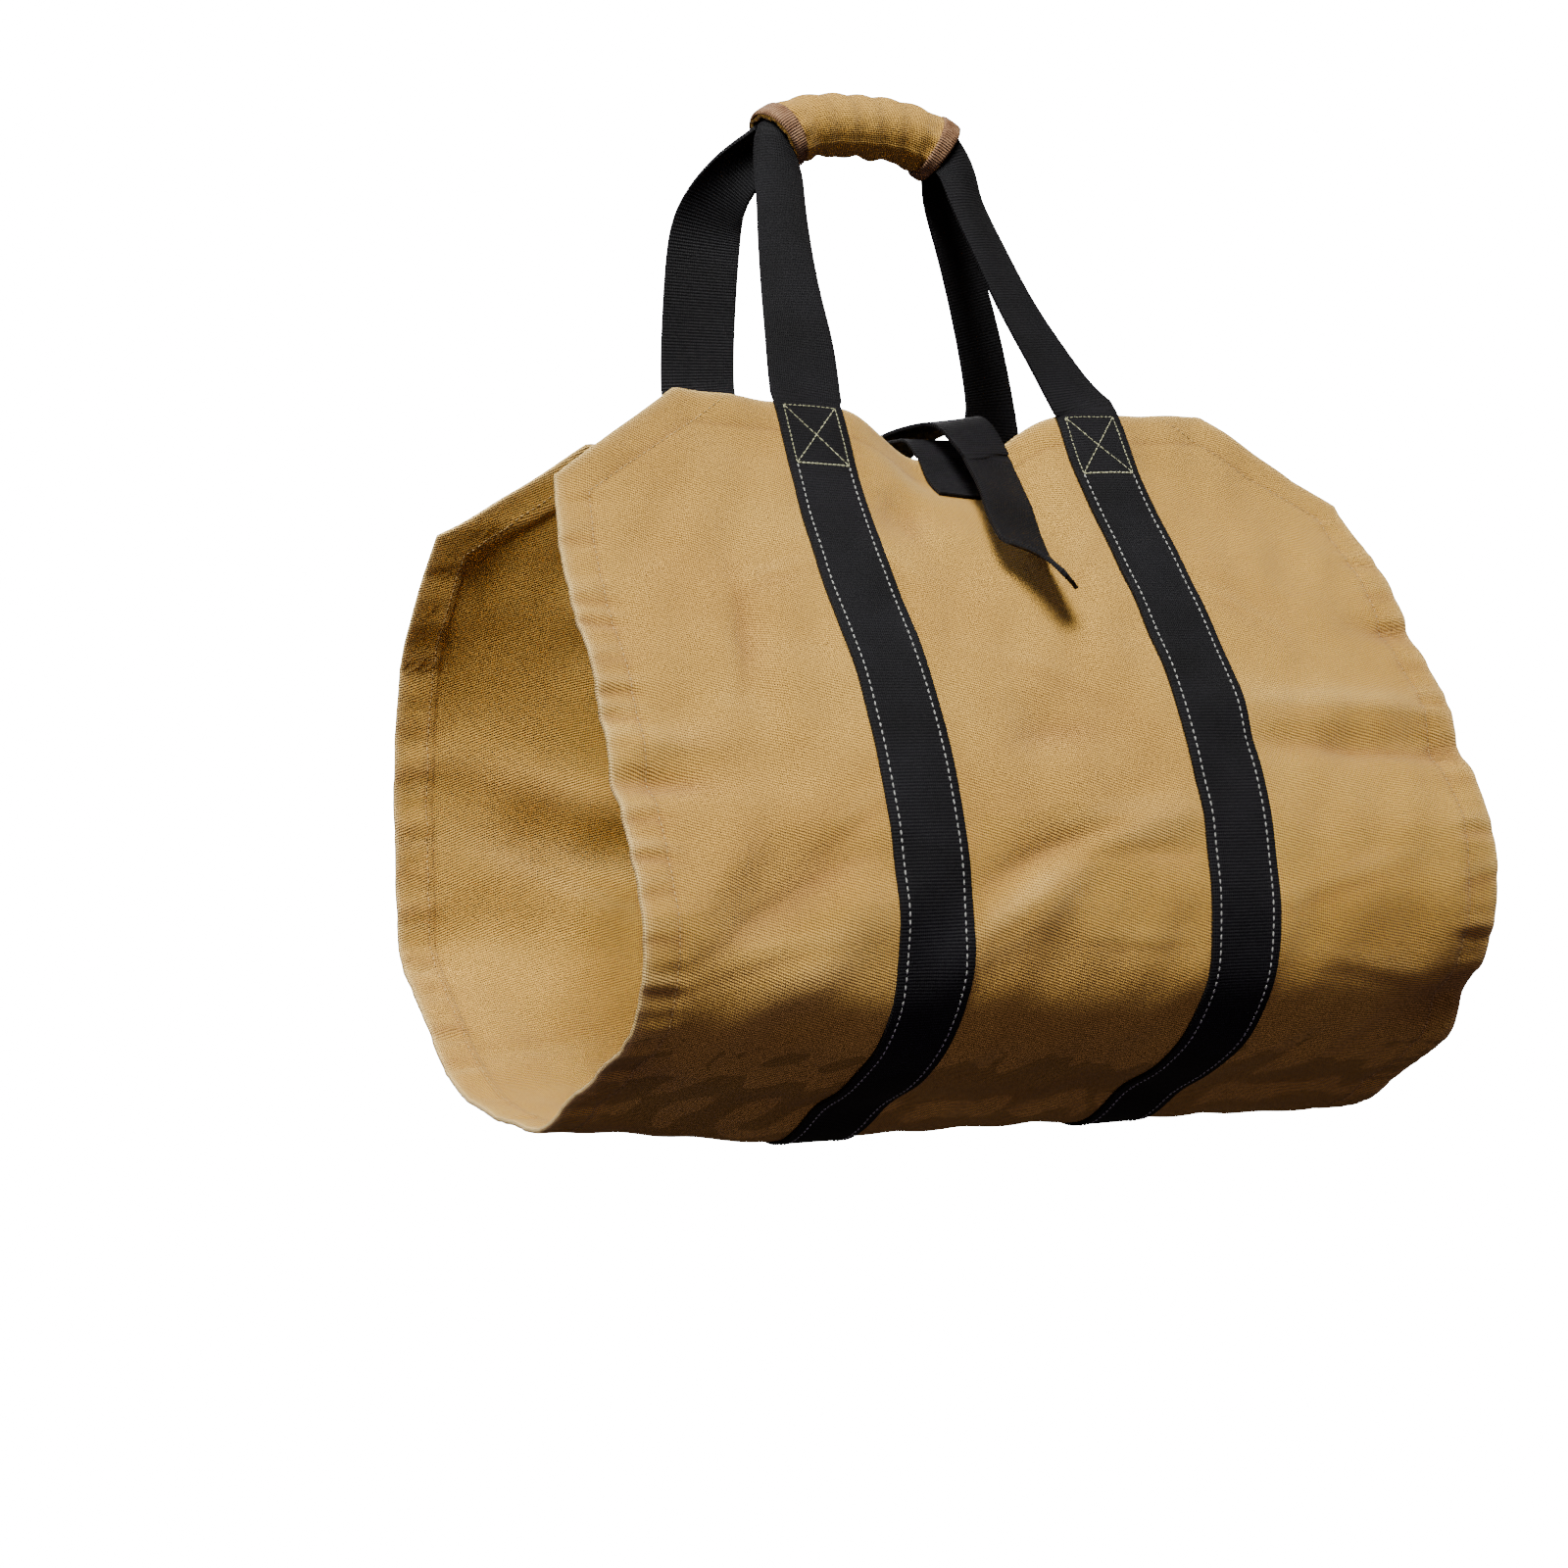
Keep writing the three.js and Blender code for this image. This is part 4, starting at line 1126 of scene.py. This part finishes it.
# Closure: a tab sewn on the front, and a longer strap sewn on the back that falls over it
tabSpan = table(
    "share rise aside faceY faceZ",
    (0.07, 0.42, 0, -0.9, 0.4),
    (0.28, 0.88, 0, -0.45, 0.9),
    (0.52, 1, 0, 0, 1),
)
strapSpan = table(
    "share rise aside faceY faceZ",
    (0.12, 0.7, 0.04, 0.7, 0.7),
    (0.42, 1.2, 0.12, 0.1, 1),
    (0.75, 1.2, 0.24, -0.3, 1),
    (1.04, 0.85, 0.38, -0.8, 0.5),
)
tailRows = table(
    "down off aside twist tip width",
    (0.05, 0.34, 0.48, 8, 0, 1),
    (0.2, 0.29, 0.5, 12, 0, 1),
    (0.4, 0.19, 0.46, 14, 0, 1),
    (0.6, 0.14, 0.36, 14, 0, 1),
    (0.74, 0.18, 0.29, 18, 8, 1),
    (0.81, 0.28, 0.31, 30, 30, 0.92),
    (0.9, 0.46, 0.4, 46, 50, 0.76),
    (1, 0.6, 0.47, 52, 46, 0.62),
    (1.025, 0.63, 0.49, 52, 45, 0.36),
)
closureLift = closure["gap"] + closure["wall"] / 2


def closurePlace(below, off, facing):
    x = np.zeros(1)
    total = totalAt(x)
    way = np.array([below]) if facing < 0 else total - below
    normal = clothNormal(x, way)[0]
    normal[0] = 0
    normal /= np.linalg.norm(normal)
    return clothAt(x, way)[0] + normal * off, normal


def closurePath(facing, rows, tail):
    rim, normal = closurePlace(0, closureLift, facing)
    other, _ = closurePlace(0, closureLift, -facing)
    clear = closure["wall"] + closure["clearance"] if facing > 0 else 0
    stations = [[*rim, *normal, 1]]
    for row in rows:
        span = (other[1] - rim[1]) * row["share"]
        rise = closure["arch"] * row["rise"] + clear
        place = rim + np.array([row["aside"] * closure["width"], span, rise])
        stations.append([*place, 0, row["faceY"], row["faceZ"], 1])
    for row in tail:
        off = closureLift + clear + row["off"] * closure["width"]
        place, normal = closurePlace(row["down"] * closure["tail"], off, -1)
        place[0] += row["aside"] * closure["width"]
        normal[0] += math.tan(math.radians(row["twist"]))
        normal[2] += math.tan(math.radians(row["tip"]))
        stations.append([*place, *(normal / np.linalg.norm(normal)), row["width"]])
    smooth = smoothLine(stations, 16)[1:]
    return smooth[:, :3], smooth[:, 3:6], smooth[:, 6]


def makeClosure(name, node, facing, sewn, rows, tail):
    columns = 11
    line, faces, widths = closurePath(facing, rows, tail)
    free = bandPoints(line, faces, widths * closure["width"], np.zeros(len(line)), columns)
    aside = np.linspace(-0.5, 0.5, columns) * closure["width"]
    below = np.linspace(sewn, 0, 24)
    x = np.repeat((aside if facing > 0 else -aside)[:, None], len(below), axis=1)
    total = totalAt(x)
    ways = below[None, :] * np.ones_like(x) if facing < 0 else total - below[None, :]
    flat = clothAt(x, ways) + clothNormal(x, ways) * closureLift
    points = np.concatenate([flat, free], axis=1)
    uvs = gridUvs(aside + closure["width"] / 2, distances(points[columns // 2]))
    piece = gridSheet(name, points, uvs)
    addWall(piece, closure["wall"], 0, closure["rounding"])
    return finishPiece(piece, blackWebbing, "webbing", node)


makeClosure("closureTab", "closure_tab", -1, closure["tabSewn"], tabSpan, [])
makeClosure("closureStrap", "closure_strap", 1, closure["strapSewn"], strapSpan, tailRows)

# Plain pale floor, and soft studio light from high on the left of the front. The light from below stands
# for what a pale floor throws back.
studio = {
    "floorHeight": -1.7,
    "floorRadius": 6.0,
    "floorGlow": 2.2,
    "background": 22.0,
    "ambient": 0.06,
    "shade": (1, 0.8, 0.74),
}
lights = {
    "key": dict(azimuth=-25, elevation=48, distance=2.0, aim=(-0.18, 0, -0.18), size=1.6, power=16.5,
                spread=33, colour=(1, 0.98, 0.95)),
    "side": dict(azimuth=-84, elevation=28, distance=2.8, aim=(-0.2, 0, -0.4), size=1.2, power=3.4,
                 spread=50, colour=(0.97, 0.98, 1)),
    "under": dict(azimuth=-15, elevation=-50, distance=2.5, aim=(0, 0, -0.4), size=2.0, power=56,
                  spread=120, colour=(0.78, 0.6, 1)),
    "rim": dict(azimuth=166, elevation=40, distance=3.0, aim=(0, 0, -0.3), size=1.6, power=7,
                spread=60, colour=(1, 1, 1)),
}


def addFloor():
    bm = bmesh.new()
    bmesh.ops.create_circle(bm, cap_ends=True, segments=96, radius=studio["floorRadius"])
    bmesh.ops.translate(bm, verts=bm.verts[:], vec=(0, 0, studio["floorHeight"]))
    mesh = bpy.data.meshes.new("floor")
    bm.to_mesh(mesh)
    bm.free()
    floor = bpy.data.objects.new("floor", mesh)
    scene.collection.objects.link(floor)
    material, tree, shader = newMaterial("paleFloor", (0.6, 0.59, 0.58), 0.9)
    shader.inputs["Emission Color"].default_value = (1, 1, 1, 1)
    shader.inputs["Emission Strength"].default_value = studio["floorGlow"]
    mesh.materials.append(material)
    # the floor is far below, and throws no light back on the canvas
    floor.visible_diffuse = False
    floor.visible_glossy = False


def addLight(name, settings):
    data = bpy.data.lights.new(name, "AREA")
    data.shape = "DISK"
    data.size = settings["size"]
    data.energy = settings["power"]
    data.color = settings["colour"]
    data.spread = math.radians(settings["spread"])
    light = bpy.data.objects.new(name, data)
    turn = math.radians(settings["azimuth"])
    rise = math.radians(settings["elevation"])
    towards = Vector((math.sin(turn) * math.cos(rise), -math.cos(turn) * math.cos(rise), math.sin(rise)))
    light.location = Vector(settings["aim"]) + towards * settings["distance"]
    light.rotation_euler = towards.to_track_quat("Z", "Y").to_euler()
    scene.collection.objects.link(light)


# The world gives little light, and shows as a white backdrop
def addWorld():
    world = bpy.data.worlds.new("paleWorld")
    world.use_nodes = True
    tree = world.node_tree
    background = tree.nodes["Background"]
    seen = addNode(tree, "ShaderNodeLightPath").outputs["Is Camera Ray"]
    tree.links.new(mixColour(tree, seen, studio["shade"], (1, 1, 1)), background.inputs["Color"])
    strength = maths(tree, "MULTIPLY", seen, studio["background"] - studio["ambient"])
    tree.links.new(maths(tree, "ADD", strength, studio["ambient"]), background.inputs["Strength"])
    scene.world = world


addFloor()
for name, settings in lights.items():
    addLight(name, settings)
addWorld()
print("studio set")
